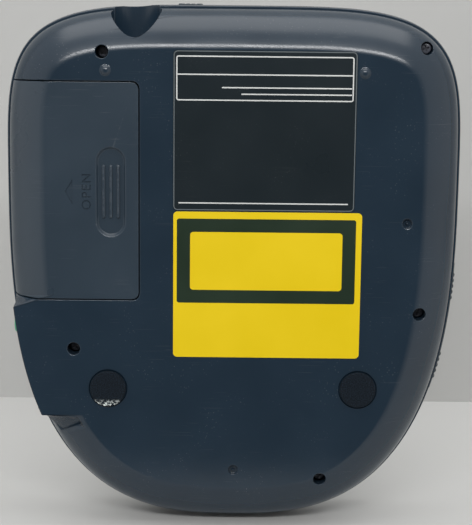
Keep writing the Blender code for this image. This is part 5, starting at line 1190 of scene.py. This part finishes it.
def glass_look(name, colour, roughness, **values):
    """Dark clear plastic with faint smears."""
    look = Look(name, roughness, **values)
    smear = look.noise(SMEAR_SCALE, 5)
    light = [channel * SMEAR_LIGHT for channel in colour]
    look.drive("Base Color", look.blend(look.span(smear, *GLOSS_SPAN), colour, light))
    look.drive("Roughness", look.span(smear, *SMEAR_SPAN, roughness, roughness * 2))
    look.drive("Normal", look.bump(smear, GRAIN_DEPTH, SMEAR_BUMP))
    return look.material


def board_look(name, colour, roughness):
    """Circuit board lacquer over faint copper tracks."""
    look = Look(name, roughness, coat_weight=BOARD_COAT)
    tracks = look.node("TexBrick", {"Vector": look.place, "Scale": TRACK_SCALE, "Mortar Size": TRACK_GAP})
    light = [channel * TRACK_LIGHT for channel in colour]
    shade = look.blend(tracks.outputs["Fac"], colour, light)
    broad = look.span(look.noise(BROAD_SCALE, 3), *GLOSS_SPAN)
    look.drive("Base Color", look.blend(broad, colour, shade))
    look.drive("Roughness", look.span(tracks.outputs["Fac"], 0, 1, roughness, roughness * TRACK_GLOSS))
    look.drive("Normal", look.bump(tracks.outputs["Fac"], GRAIN_DEPTH, TRACK_BUMP))
    return look.material


def make_finishes():
    """Every finish by name, from its kind, colour, roughness and finer settings."""
    housing = {"tone": 0.06, "grain": 0.2, "wear": 0, "dust": 0.2, "scratch": 0.05, "ior": HOUSING_IOR}
    door = {"tone": 0.05, "grain": 0.3, "wear": 0.1, "scratch": 0.1, "ior": HOUSING_IOR}
    sticker = {"tone": 0.06, "grain": 0.1, "wear": 0, "dust": 0.12, "scratch": 0.03}
    printed = {"grain": 0.15, "wear": 0}
    rows = {
        "slate_plastic": (moulded, SLATE, 0.24, housing),
        "door_plastic": (moulded, DOOR_SLATE, 0.3, door),
        "silver_paint": (moulded, SILVER, 0.36, {"tone": 0.05, "grain": 0.35, "wear": 0.1, "metallic": 0.55}),
        "dark_plastic": (moulded, CHARCOAL, 0.45, {"tone": 0.15, "grain": 0.6}),
        "grip_rubber": (moulded, GRIP_SLATE, 0.62, {"tone": 0.12, "grain": 0.9, "wear": 0.25}),
        "foot_rubber": (foot_look, FOOT_BLACK, 0.85, {}),
        "worn_rubber": (foot_look, FOOT_BLACK, 0.85, {"worn": True}),
        "green_plastic": (moulded, GREEN, 0.35, {"tone": 0.08, "grain": 0.3}),
        "key_plastic": (moulded, KEY_GREY, 0.36, {"tone": 0.06, "grain": 0.4, "metallic": 0.3}),
        # The screws' strong edge paling is mostly a painted highlight on their rims, which sit in dark wells
        "black_screw": (moulded, SCREW_BLACK, 0.35, {"wear": 0.4, "ior": SCREW_IOR}),
        "steel": (metal, STEEL, 0.3, {}),
        "board_green": (board_look, BOARD, 0.4, {}),
        "gear_white": (moulded, GEAR, 0.4, {"tone": 0.03, "grain": 0.2}),
        "clear_window": (glass_look, WINDOW, 0.06, {"ior": WINDOW_IOR, "coat_weight": 0.5}),
        "display_grey": (glass_look, LCD, 0.3, {}),
        "lens_glass": (glass_look, LENS, 0.04, {"ior": LENS_IOR, "coat_weight": 1}),
        "black_label": (moulded, LABEL_BLACK, 0.3, sticker),
        "yellow_label": (moulded, LABEL_YELLOW, 0.4, {"tone": 0.02, **printed}),
        "label_green": (moulded, LABEL_GREEN, 0.4, {"tone": 0.08, **printed}),
        "label_white": (moulded, LABEL_WHITE, 0.45, {"tone": 0.05, **printed}),
        "label_edge": (moulded, LABEL_EDGE, 0.45, {"tone": 0.05, **printed}),
    }
    made = {}
    for name, (kind, colour, roughness, values) in rows.items():
        made[name] = kind(name, colour, roughness, **values)
    return made


finishes = make_finishes()


def plain_roll_shares(steps):
    for angle in spread(ROLL_START, math.pi / 2, steps):
        yield (1 - math.sin(angle)) / (1 - math.sin(ROLL_START)), 1 - math.cos(angle) / math.cos(ROLL_START)


def roll_shares(steps):
    """How far in and how far up each step of the rolled edge lies, from the flat to the rim."""
    points = list(plain_roll_shares(steps))
    if steps < ROLL_STEPS:
        yield from points
        return
    flat_point = (1 + CREASE_SHARE, 0)
    for i in range(CREASE_STEPS):
        t = i / CREASE_STEPS
        weights = ((1 - t) ** 2, 2 * t * (1 - t), t * t)
        yield tuple(sum(w * p[k] for w, p in zip(weights, (flat_point, *points[:2]))) for k in range(2))
    yield from points[1:]


def flared(name, places, radius, low, high, flare, segments):
    """Upright round cutters that widen over their lowest part."""
    build = bmesh.new()
    for x, y in places:
        rings = []
        for r, z in ((radius + flare + OVERRUN, low - OVERRUN), (radius, low + flare), (radius, high)):
            angles = [2 * math.pi * i / segments for i in range(segments)]
            rings.append([build.verts.new((x + r * math.cos(a), y + r * math.sin(a), z)) for a in angles])
        for lower, upper in zip(rings, rings[1:]):
            for i in range(segments):
                j = (i + 1) % segments
                build.faces.new((lower[i], lower[j], upper[j], upper[i]))
        build.faces.new(rings[0])
        build.faces.new(rings[-1])
    return finished(name, build)


def turned_at(name, profile, spot, segments=ROUND):
    piece = turned(name, profile, segments)
    piece.location = spot
    return piece


def make_shell():
    shell = bottom_cup("shell_skin")
    tubes = uprights("screw_tubes", SCREW_PLACES, TUBE_RADIUS, 0, PARTING_Z - GAP, ROUND)
    keep_inside(tubes, shell_form("bottom_form"))
    join(shell, tubes)
    low, high = FOOT_HEIGHT + WALL / 2, damper_low() - GAP
    join(shell, uprights("damper_posts", LOCATOR_PLACES, POST_RADIUS, low, high, ROUND))
    join(shell, uprights("damper_pins", LOCATOR_PLACES, PIN_RADIUS, FLOOR_Z, damper_high() + GAP, SMALL))
    add_scoop_wall(shell, "bottom_scoop_wall", shell_form("bottom_scoop_form"))
    build = bmesh.new()
    sphere = (PIP_RADIUS**2 + FOOT_HEIGHT**2) / (2 * FOOT_HEIGHT)
    for x, y in PIP_PLACES:
        matrix = Matrix.Translation((x, y, sphere))
        bmesh.ops.create_uvsphere(build, u_segments=SMALL, v_segments=ROUND, radius=sphere, matrix=matrix)
    join(shell, finished("pips", build))
    cut(shell, door_box("door_opening", 0, PARTING_Z + OVERRUN))
    for number, (x, y, shelf) in enumerate(SCREWS):
        cut(shell, uprights(f"screw_well_{number}", [(x, y)], SCREW_HOLE_RADIUS, -OVERRUN, shelf, ROUND))
    cut(shell, uprights("shank_holes", SCREW_PLACES, SHANK_HOLE_RADIUS, 0, PARTING_Z + OVERRUN, SMALL))
    low = FOOT_HEIGHT
    cut(shell, flared("foot_seats", FOOT_PLACES, FOOT_RADIUS + GAP, low, low + FOOT_SEAT, SEAT_FLARE, FINE))
    high = low + LOCATOR_DEPTH
    cut(shell, flared("locators", LOCATOR_PLACES, LOCATOR_RADIUS, low, high, SEAT_FLARE, ROUND))
    cut_scoop(shell, "bottom_scoop")
    holes = [socket_run(y, COLLAR_RADIUS + GAP, 3 * WALL) for y in (PHONES_Y, LINE_Y)]
    cut(shell, rods("socket_holes", holes, ROUND))
    dress(shell, "slate_plastic", "case", ["bottom_shell"], EDGE_ROUND)
    tip = -LOCATOR_DEPTH * NUB_SHARE
    profile = ((0, GAP), (NUB_RADIUS, GAP), (NUB_RADIUS, 0), (NUB_RADIUS / 2, tip), (0, tip - SLIVER))
    for number, (x, y) in enumerate(LOCATOR_PLACES, 1):
        nub = turned_at(f"locator_nub_{number}", profile, (x, y, high))
        dress(nub, "slate_plastic", "case")


def hollow_tool(name, ends):
    """Round-ended hollow whose wall leans in towards its floor."""
    levels = (
        (GRIP_RADIUS + OVERRUN, FOOT_HEIGHT - OVERRUN),
        (GRIP_RADIUS, FOOT_HEIGHT + HOLLOW_DRAFT / 3),
        (GRIP_RADIUS - HOLLOW_DRAFT, FOOT_HEIGHT + GRIP_DEPTH),
    )
    rings = [[(x, y, z) for x, y in slot_outline(*ends, radius, HOLLOW_STEPS)] for radius, z in levels]
    return skin(name, rings)


def make_door():
    door = bottom_cup("door_skin")
    keep_inside(door, door_box("door_cut", GAP, PARTING_Z + OVERRUN))
    grip_x = DOOR_X0 + GRIP_OFFSET
    grip_y = (DOOR_Y0 + DOOR_Y1) / 2
    half = GRIP_LENGTH / 2 - GRIP_RADIUS
    rib_half = GRIP_RIB_LENGTH / 2
    rib_low, rib_high = FOOT_HEIGHT + GRIP_DEPTH - GRIP_RIB_HEIGHT, FOOT_HEIGHT + (GRIP_DEPTH + WALL) / 2
    cut(door, hollow_tool("thumb_hollow", ((grip_x, grip_y - half), (grip_x, grip_y + half))))
    for i in range(GRIP_RIB_COUNT):
        x = grip_x + (i - (GRIP_RIB_COUNT - 1) / 2) * GRIP_RIB_PITCH
        low = (x - GRIP_RIB_WIDTH / 2, grip_y - rib_half, rib_low)
        high = (x + GRIP_RIB_WIDTH / 2, grip_y + rib_half, rib_high)
        join(door, box(f"thumb_rib_{i + 1}", low, high, GRIP_RIB_WIDTH / 3))
    tab_z = FLOOR_Z + GAP
    for side, end, edge in (("front", -1, DOOR_Y0 + GAP), ("back", 1, DOOR_Y1 - GAP)):
        outer, root, inner = edge + end * TAB_REACH, edge - end * GAP, edge - end * TAB_ROOT
        for number in range(TAB_COUNT):
            x = DOOR_X0 + TAB_START + number * TAB_PITCH
            low = (x, min(outer, inner), tab_z)
            high = (x + TAB_LENGTH, max(outer, inner), tab_z + TAB_THICKNESS)
            join(door, box(f"{side}_tab_{number + 1}", low, high))
            low = (x, min(root, inner), FLOOR_Z - WALL / 3)
            high = (x + TAB_LENGTH, max(root, inner), tab_z + TAB_THICKNESS / 2)
            join(door, box(f"{side}_tab_root_{number + 1}", low, high))
    rounded(door, EDGE_ROUND)
    corners = [(DOOR_X0 + x, grip_y + y) for x, y in ARROW_OFFSETS]
    levels = (-OVERRUN, FOOT_HEIGHT + ENGRAVING)
    cut(door, skin("arrow_tool", [[(x, y, z) for x, y in corners] for z in levels]))
    cut(door, engraved_word(grip_y))
    dress(door, "door_plastic", "battery_door", ["battery_door"])


def engraved_word(middle):
    """The word OPEN beside the arrow, read from below with +X on its left."""
    curve = bpy.data.curves.new("open_word", "FONT")
    curve.body = "OPEN"
    curve.size = WORD_SIZE
    curve.space_character = WORD_SPACING
    curve.align_x = "CENTER"
    curve.align_y = "CENTER"
    curve.extrude = OVERRUN / 2
    turn = Matrix.Rotation(math.pi, 4, "Y") @ Matrix.Rotation(math.pi / 2, 4, "Z")
    spot = (DOOR_X0 + WORD_OFFSET, middle, FOOT_HEIGHT + ENGRAVING - OVERRUN / 2)
    return meshed("open_word", curve, Matrix.Translation(spot) @ turn)


def rounded_rim(radius, height, edge):
    """Quarter-round profile points from a wall down onto a lower face at the given height."""
    for angle in spread(0, math.pi / 2, EDGE_STEPS):
        yield radius - edge * (1 - math.cos(angle)), height + edge * (1 - math.sin(angle))


def make_feet():
    for name, finish, (x, y) in zip(("foot_left", "foot_right"), ("worn_rubber", "foot_rubber"), FOOT_PLACES):
        top = FOOT_HEIGHT + FOOT_SEAT - GAP
        profile = [(0, top), (FOOT_RADIUS, top), *rounded_rim(FOOT_RADIUS, 0, FOOT_EDGE), (0, 0)]
        foot = turned_at(f"{name}_pad", profile, (x, y, 0), FINE)
        dress(foot, finish, "case", [name])


def make_screws():
    """Black screws with rounded heads and a cross recess."""
    for number, (x, y, shelf) in enumerate(SCREWS, 1):
        profile = [
            (0, SCREW_LENGTH),
            (SCREW_SHANK_RADIUS, SCREW_LENGTH),
            (SCREW_SHANK_RADIUS, 0),
            (SCREW_HEAD_RADIUS, 0),
            *rounded_rim(SCREW_HEAD_RADIUS, -SCREW_HEAD_HEIGHT, SCREW_EDGE),
            (0, -SCREW_HEAD_HEIGHT),
        ]
        screw = turned_at(f"screw_{number}", profile, (x, y, shelf - GAP))
        for turn in (0, math.pi / 2):
            low = (-CROSS_REACH, -CROSS_WIDTH / 2, -OVERRUN)
            bar = box(f"cross_{number}", low, (CROSS_REACH, CROSS_WIDTH / 2, CROSS_DEPTH))
            spot = Matrix.Translation((x, y, shelf - GAP - SCREW_HEAD_HEIGHT))
            bar.data.transform(spot @ Matrix.Rotation(turn + number * SCREW_TURN, 4, "Z"))
            cut(screw, bar)
        dress(screw, "black_screw", "case", [f"case_screw_{number}"])


def hinge_bores(name):
    half = HINGE_PIN_LENGTH / 2 + GAP
    places = [((x - half, HINGE_Y, HINGE_Z), (x + half, HINGE_Y, HINGE_Z)) for x in ear_centres()]
    return rods(name, [(start, end, HINGE_PIN_RADIUS + GAP) for start, end in places])


def make_upper_case():
    case = skin("case_skin", base_rings(0))
    cut_lip_and_trough(case)
    add_strip(case)
    add_ears(case)
    cut_case_hollow(case)
    add_case_bosses(case)
    cut_well(case)
    cut_front_openings(case)
    cut_strip_openings(case)
    cut_hold_slot(case)
    cut_grip_seat(case)
    cut_scoop(case, "upper_scoop")
    cut(case, hinge_bores("ear_bores"))
    dress(case, "slate_plastic", "case", ["upper_case"], EDGE_ROUND)


def make_lid():
    lid = skin("lid_skin", dome_rings(LID_Z))
    tall = LID_Z + LID_SIDE_HEIGHT + LID_ROLL_HEIGHT + LID_CROWN + OVERRUN
    low = (-HALF_WIDTH - OVERRUN, FRONT_Y - OVERRUN, LID_Z - OVERRUN)
    front = box("lid_front_region", low, (HALF_WIDTH + OVERRUN, HINGE_Y, tall))
    join(front, barrel("lid_barrel_region", BARREL_RADIUS, HALF_WIDTH + OVERRUN))
    keep_inside(lid, front)
    hollow = skin("lid_hollow", dome_rings(LID_Z - OVERRUN, LID_WALL, LID_INNER_STEPS))
    low = (-HALF_WIDTH, FRONT_Y - OVERRUN, LID_Z - 2 * OVERRUN)
    high = (HALF_WIDTH, HINGE_Y - EAR_RADIUS - NOTCH_DEPTH / 2, tall)
    keep_inside(hollow, box("lid_hollow_region", low, high))
    cut(lid, hollow)
    half = EAR_WIDTH / 2 + GAP
    for number, x in enumerate(ear_centres(), 1):
        low = (x - half, HINGE_Y - EAR_RADIUS - NOTCH_DEPTH, LID_Z - OVERRUN)
        cut(lid, box(f"ear_notch_{number}", low, (x + half, HINGE_Y + 2 * BARREL_RADIUS, tall)))
    cut(lid, hinge_bores("lid_pin_bores"))
    add_latch_hook(lid)
    dress(lid, "silver_paint", "lid", ["lid_cover"], EDGE_ROUND)


def make_side_grip():
    """Rubber strip whose ribs have rounded tops."""
    ends = (SIDE_GRIP_BACK_Y, SIDE_GRIP_FRONT_Y)
    ribs = []
    for end, step in ((SIDE_GRIP_BACK_Y - SIDE_RIB_MARGIN, -1), (SIDE_GRIP_FRONT_Y + SIDE_RIB_MARGIN, 1)):
        ribs += [end + step * SIDE_RIB_PITCH * i for i in range(SIDE_RIB_COUNT)]
    outer = []
    for y in spread(*ends, GRIP_POINTS):
        nearest = min(abs(y - rib) for rib in ribs)
        swell = max(0, 1 - (nearest / (SIDE_RIB_PITCH / 3)) ** 2) ** 0.5
        point, outward = outline_station(angle_at(y), -1, -1)
        outer.append(tuple(point + outward * (SIDE_GRIP_PROUD + (SIDE_RIB_PROUD - SIDE_GRIP_PROUD) * swell)))
    inner = side_strip(*ends, SIDE_GRIP_SEAT - GAP, GRIP_POINTS)
    low = SIDE_GRIP_LOW_Z
    strip = flat("side_grip_ribs", outer + inner[::-1], low, low + SIDE_GRIP_HEIGHT)
    dress(strip, "grip_rubber", "case", ["side_grip"])


def make_collars():
    sockets = (
        ("phones", PHONES_Y, "green_plastic", COLLAR_PROUD),
        ("line", LINE_Y, "dark_plastic", LINE_PROUD),
    )
    for name, y, finish, proud in sockets:
        body_x = panel_wall_x(y - SOCKET_BODY_WIDTH / 2) - PANEL_DRAFT - WALL - 2 * GAP
        end_x = panel_wall_x(y) + proud
        depth = body_x + GAP - end_x
        profile = [(SOCKET_BORE_RADIUS + GAP, 0)]
        for angle in spread(0, math.pi / 2, EDGE_STEPS):
            profile.append((COLLAR_RADIUS - GAP * (1 - math.sin(angle)), -GAP * (1 - math.cos(angle))))
        profile += [(COLLAR_RADIUS, depth), (SOCKET_BORE_RADIUS, depth), (SOCKET_BORE_RADIUS, -GAP)]
        collar = turned_at(f"{name}_ring", profile, (end_x, y, SOCKET_Z), FINE)
        collar.rotation_euler = (0, math.pi / 2, 0)
        dress(collar, finish, "case", [f"{name}_collar"])


def make_keys():
    """Key caps with rounded edges and a raised sign each."""
    half_x = KEY_WIDTH / 2
    half_y = POCKET_DEPTH / 2 - GAP
    low = POCKET_Z + KEY_TRAVEL + GAP
    top = low + KEY_HEIGHT
    stem_low = board_high() + SWITCH_HEIGHT + KEY_TRAVEL + GAP
    for name, x in key_places():
        corner = (x - half_x, KEY_Y - half_y, low)
        cap = box(f"{name}_cap", corner, (x + half_x, KEY_Y + half_y, top), KEY_ROUND, segments=EDGE_STEPS)
        stem_top = low + KEY_HEIGHT / 2
        join(cap, uprights(f"{name}_stem", [(x, KEY_Y)], KEY_STEM_RADIUS, stem_low, stem_top, SMALL))
        dress(cap, "key_plastic", name, [name])
        for number, corners in enumerate(KEY_SIGNS[name], 1):
            points = [(x + px * SIGN_SIZE, KEY_Y + py * SIGN_SIZE) for px, py in corners]
            sign = flat(f"{name}_sign_{number}", points, top - SIGN_RISE, top + SIGN_RISE)
            dress(sign, "label_white", name)


def make_hold_switch():
    half = HOLD_WIDTH / 2
    x = HOLD_X - HOLD_TRAVEL / 2
    face = BACK_Y - HOLD_SINK + GAP
    low = (x - half, face, HOLD_Z - HOLD_HEIGHT / 2)
    knob = box("hold_knob", low, (x + half, BACK_Y + HOLD_PROUD, HOLD_Z + HOLD_HEIGHT / 2), GAP, segments=3)
    for i in range(HOLD_GROOVES):
        groove_x = x + (i - (HOLD_GROOVES - 1) / 2) * HOLD_GROOVE_PITCH
        low = (groove_x - HOLD_GROOVE_WIDTH / 2, BACK_Y + HOLD_PROUD - GAP / 2, HOLD_Z - HOLD_HEIGHT)
        high = (groove_x + HOLD_GROOVE_WIDTH / 2, BACK_Y + OVERRUN, HOLD_Z + HOLD_HEIGHT)
        cut(knob, box(f"hold_groove_{i}", low, high))
    inner = BACK_Y - SKIRT_WALL - SHOULDER_INSET - RUN
    half = HOLD_STEM_WIDTH / 2
    low = (x - half, inner - HOLD_FLANGE / 2, HOLD_Z - HOLD_STEM_HEIGHT / 2)
    join(knob, box("hold_stem", low, (x + half, face + GAP, HOLD_Z + HOLD_STEM_HEIGHT / 2)))
    dress(knob, "grip_rubber", "hold_switch", ["hold_switch"])


def make_open_button():
    """Curved push at the front, with its latch bar."""
    outer = button_outline(0, BUTTON_HALF_WIDTH)
    inner = button_outline(BUTTON_THICKNESS, BUTTON_HALF_WIDTH)
    top = BUTTON_LOW_Z + BUTTON_HEIGHT
    button = flat("open_push", outer + inner[::-1], BUTTON_LOW_Z, top)
    bar_front = FRONT_Y + HOOK_INSET + HOOK_THICKNESS + NOSE_REACH + RUN
    arm_low = top - LATCH_ARM_HEIGHT - GAP
    for side in (-1, 1):
        edges = sorted((side * LATCH_SPAN / 2, side * (LATCH_SPAN / 2 + LATCH_ARM_WIDTH)))
        low = (edges[0], FRONT_Y + BUTTON_THICKNESS / 2, arm_low)
        high = (edges[1], bar_front + LATCH_BAR_DEPTH, arm_low + LATCH_ARM_HEIGHT)
        join(button, box(f"latch_arm_{side}", low, high))
    low = (-LATCH_SPAN / 2 - GAP, bar_front, arm_low + SLIVER)
    back, top = bar_front + LATCH_BAR_DEPTH - SLIVER, arm_low + LATCH_ARM_HEIGHT - SLIVER
    high = (LATCH_SPAN / 2 + GAP, back, top)
    join(button, box("latch_bar", low, high))
    dress(button, "silver_paint", "open_button", ["open_button"], EDGE_ROUND)


def sticker_piece(name, corners, radius, finish, low, high, width=0.0):
    """Plate with round corners, or a printed frame of the given width."""
    (x0, y0), (x1, y1) = corners
    piece = box(name, (x0, y0, low), (x1, y1, high), radius, vertical_only=True, segments=LABEL_CORNER_STEPS)
    if width:
        hole_low = (x0 + width, y0 + width, low - OVERRUN)
        hole_high = (x1 - width, y1 - width, high + OVERRUN)
        hole_radius = max(radius - width, width / 4)
        cut(piece, box(f"{name}_hole", hole_low, hole_high, hole_radius, True, LABEL_CORNER_STEPS))
    dress(piece, finish, "case")


def make_labels():
    """Two blank stickers with printed frames and ruled lines."""
    low = FOOT_HEIGHT - LABEL_THICKNESS
    high = FOOT_HEIGHT + PRINT_THICKNESS
    inks = (low - PRINT_THICKNESS, low + PRINT_THICKNESS)
    sticker_piece("black_label", BLACK_LABEL, LABEL_RADIUS, "black_label", low, high)
    sticker_piece("black_label_edge", BLACK_EDGE, LABEL_RADIUS, "label_edge", *inks, HAIRLINE)
    sticker_piece("black_label_frame", BLACK_FRAME, FRAME_RADIUS, "label_white", *inks, RULE)
    for number, (x0, x1, y, width) in enumerate(BLACK_RULES, 1):
        corners = ((x0, y - width / 2), (x1, y + width / 2))
        sticker_piece(f"black_rule_{number}", corners, width / 4, "label_white", *inks)
    sticker_piece("yellow_label", YELLOW_LABEL, LABEL_RADIUS, "yellow_label", low, high)
    sticker_piece("green_frame", GREEN_FRAME, FRAME_RADIUS, "label_green", *inks, FRAME_WIDTH)


def repaint_nodes():
    """Gives each CAD node that stays in view its better finish."""
    for node in frame["nodes"].values():
        for holder in node.material_slots:
            name = holder.material.name.split(".")[0]
            if name in finishes:
                holder.material = finishes[name]


def stage_look():
    """Pale matt surface that is clear from behind."""
    pale = bpy.data.materials.new("stage_pale")
    pale.use_nodes = True
    tree = pale.node_tree
    shader = tree.nodes["Principled BSDF"]
    shader.inputs["Base Color"].default_value = (*STAGE_COLOUR, 1)
    shader.inputs["Roughness"].default_value = STAGE_ROUGHNESS
    clear = tree.nodes.new("ShaderNodeBsdfTransparent")
    side = tree.nodes.new("ShaderNodeNewGeometry")
    mix = tree.nodes.new("ShaderNodeMixShader")
    tree.links.new(side.outputs["Backfacing"], mix.inputs["Fac"])
    tree.links.new(shader.outputs["BSDF"], mix.inputs[1])
    tree.links.new(clear.outputs["BSDF"], mix.inputs[2])
    tree.links.new(mix.outputs["Shader"], tree.nodes["Material Output"].inputs["Surface"])
    return pale


def make_stage():
    """Floor against the front end and a wall behind the lid."""
    pale = stage_look()
    low, half, near = FRONT_Y - FLOOR_GAP, STAGE_HALF, STAGE_NEAR_Z
    corners = {
        "floor": ((-half, low, WALL_Z), (half, low, WALL_Z), (half, low, near), (-half, low, near)),
        "backdrop": ((-half, low, WALL_Z), (-half, half, WALL_Z), (half, half, WALL_Z), (half, low, WALL_Z)),
    }
    for name, points in corners.items():
        mesh = bpy.data.meshes.new(name)
        mesh.from_pydata(points, [], [tuple(range(len(points)))])
        mesh.materials.append(pale)
        plane = bpy.data.objects.new(name, mesh)
        bpy.context.scene.collection.objects.link(plane)
        plane.visible_shadow = False


def make_light():
    for name, spot, size, size_y, watts, glossy in LAMPS:
        light = bpy.data.lights.new(name, "AREA")
        light.shape = "RECTANGLE"
        light.size = size
        light.size_y = size_y
        light.energy = watts
        lamp = bpy.data.objects.new(name, light)
        lamp.location = spot
        lamp.rotation_euler = (-Vector(spot)).to_track_quat("-Z", "Y").to_euler()
        lamp.visible_glossy = glossy
        bpy.context.scene.collection.objects.link(lamp)
    world = bpy.data.worlds.new("studio")
    bpy.context.scene.world = world
    world.use_nodes = True
    tree = world.node_tree
    plain = tree.nodes["Background"]
    shown = tree.nodes.new("ShaderNodeBackground")
    for background in (plain, shown):
        background.inputs["Color"].default_value = (*WORLD_COLOUR, 1)
    shown.inputs["Strength"].default_value = WORLD_SHOWN
    way = tree.nodes.new("ShaderNodeSeparateXYZ")
    tree.links.new(tree.nodes.new("ShaderNodeTexCoord").outputs["Generated"], way.inputs["Vector"])
    fade = tree.nodes.new("ShaderNodeMapRange")
    limits = zip(("From Min", "From Max", "To Min", "To Max"), (*WORLD_SPAN, WORLD_DARK, WORLD_BRIGHT))
    for socket, value in limits:
        fade.inputs[socket].default_value = value
    tree.links.new(way.outputs["Z"], fade.inputs["Value"])
    tree.links.new(fade.outputs["Result"], plain.inputs["Strength"])
    seen = tree.nodes.new("ShaderNodeLightPath").outputs["Is Camera Ray"]
    mix = tree.nodes.new("ShaderNodeMixShader")
    tree.links.new(seen, mix.inputs["Fac"])
    tree.links.new(plain.outputs["Background"], mix.inputs[1])
    tree.links.new(shown.outputs["Background"], mix.inputs[2])
    tree.links.new(mix.outputs["Shader"], tree.nodes["World Output"].inputs["Surface"])


def make_camera():
    tilt = math.radians(CAMERA_TILT)
    roll = math.radians(CAMERA_ROLL)
    back = Vector((0, math.sin(tilt), -math.cos(tilt)))
    up = Vector((0, math.cos(tilt), math.sin(tilt)))
    right = up.cross(back)
    rolled_up = up * math.cos(roll) + right * math.sin(roll)
    rolled_right = right * math.cos(roll) - up * math.sin(roll)
    data = bpy.data.cameras.new("camera")
    data.lens = CAMERA_LENS
    data.clip_start = CAMERA_CLIP
    camera = bpy.data.objects.new("camera", data)
    spot = Vector(CAMERA_TARGET) + back * CAMERA_DISTANCE
    turn = Matrix((rolled_right, rolled_up, back)).transposed().to_4x4()
    camera.matrix_world = Matrix.Translation(spot) @ turn
    bpy.context.scene.collection.objects.link(camera)
    bpy.context.scene.camera = camera


make_shell()
make_door()
make_feet()
make_screws()
make_upper_case()
make_lid()
make_side_grip()
make_collars()
make_keys()
make_hold_switch()
make_open_button()
make_labels()
repaint_nodes()
make_stage()
make_light()
make_camera()
bpy.context.scene.view_settings.view_transform = "Standard"
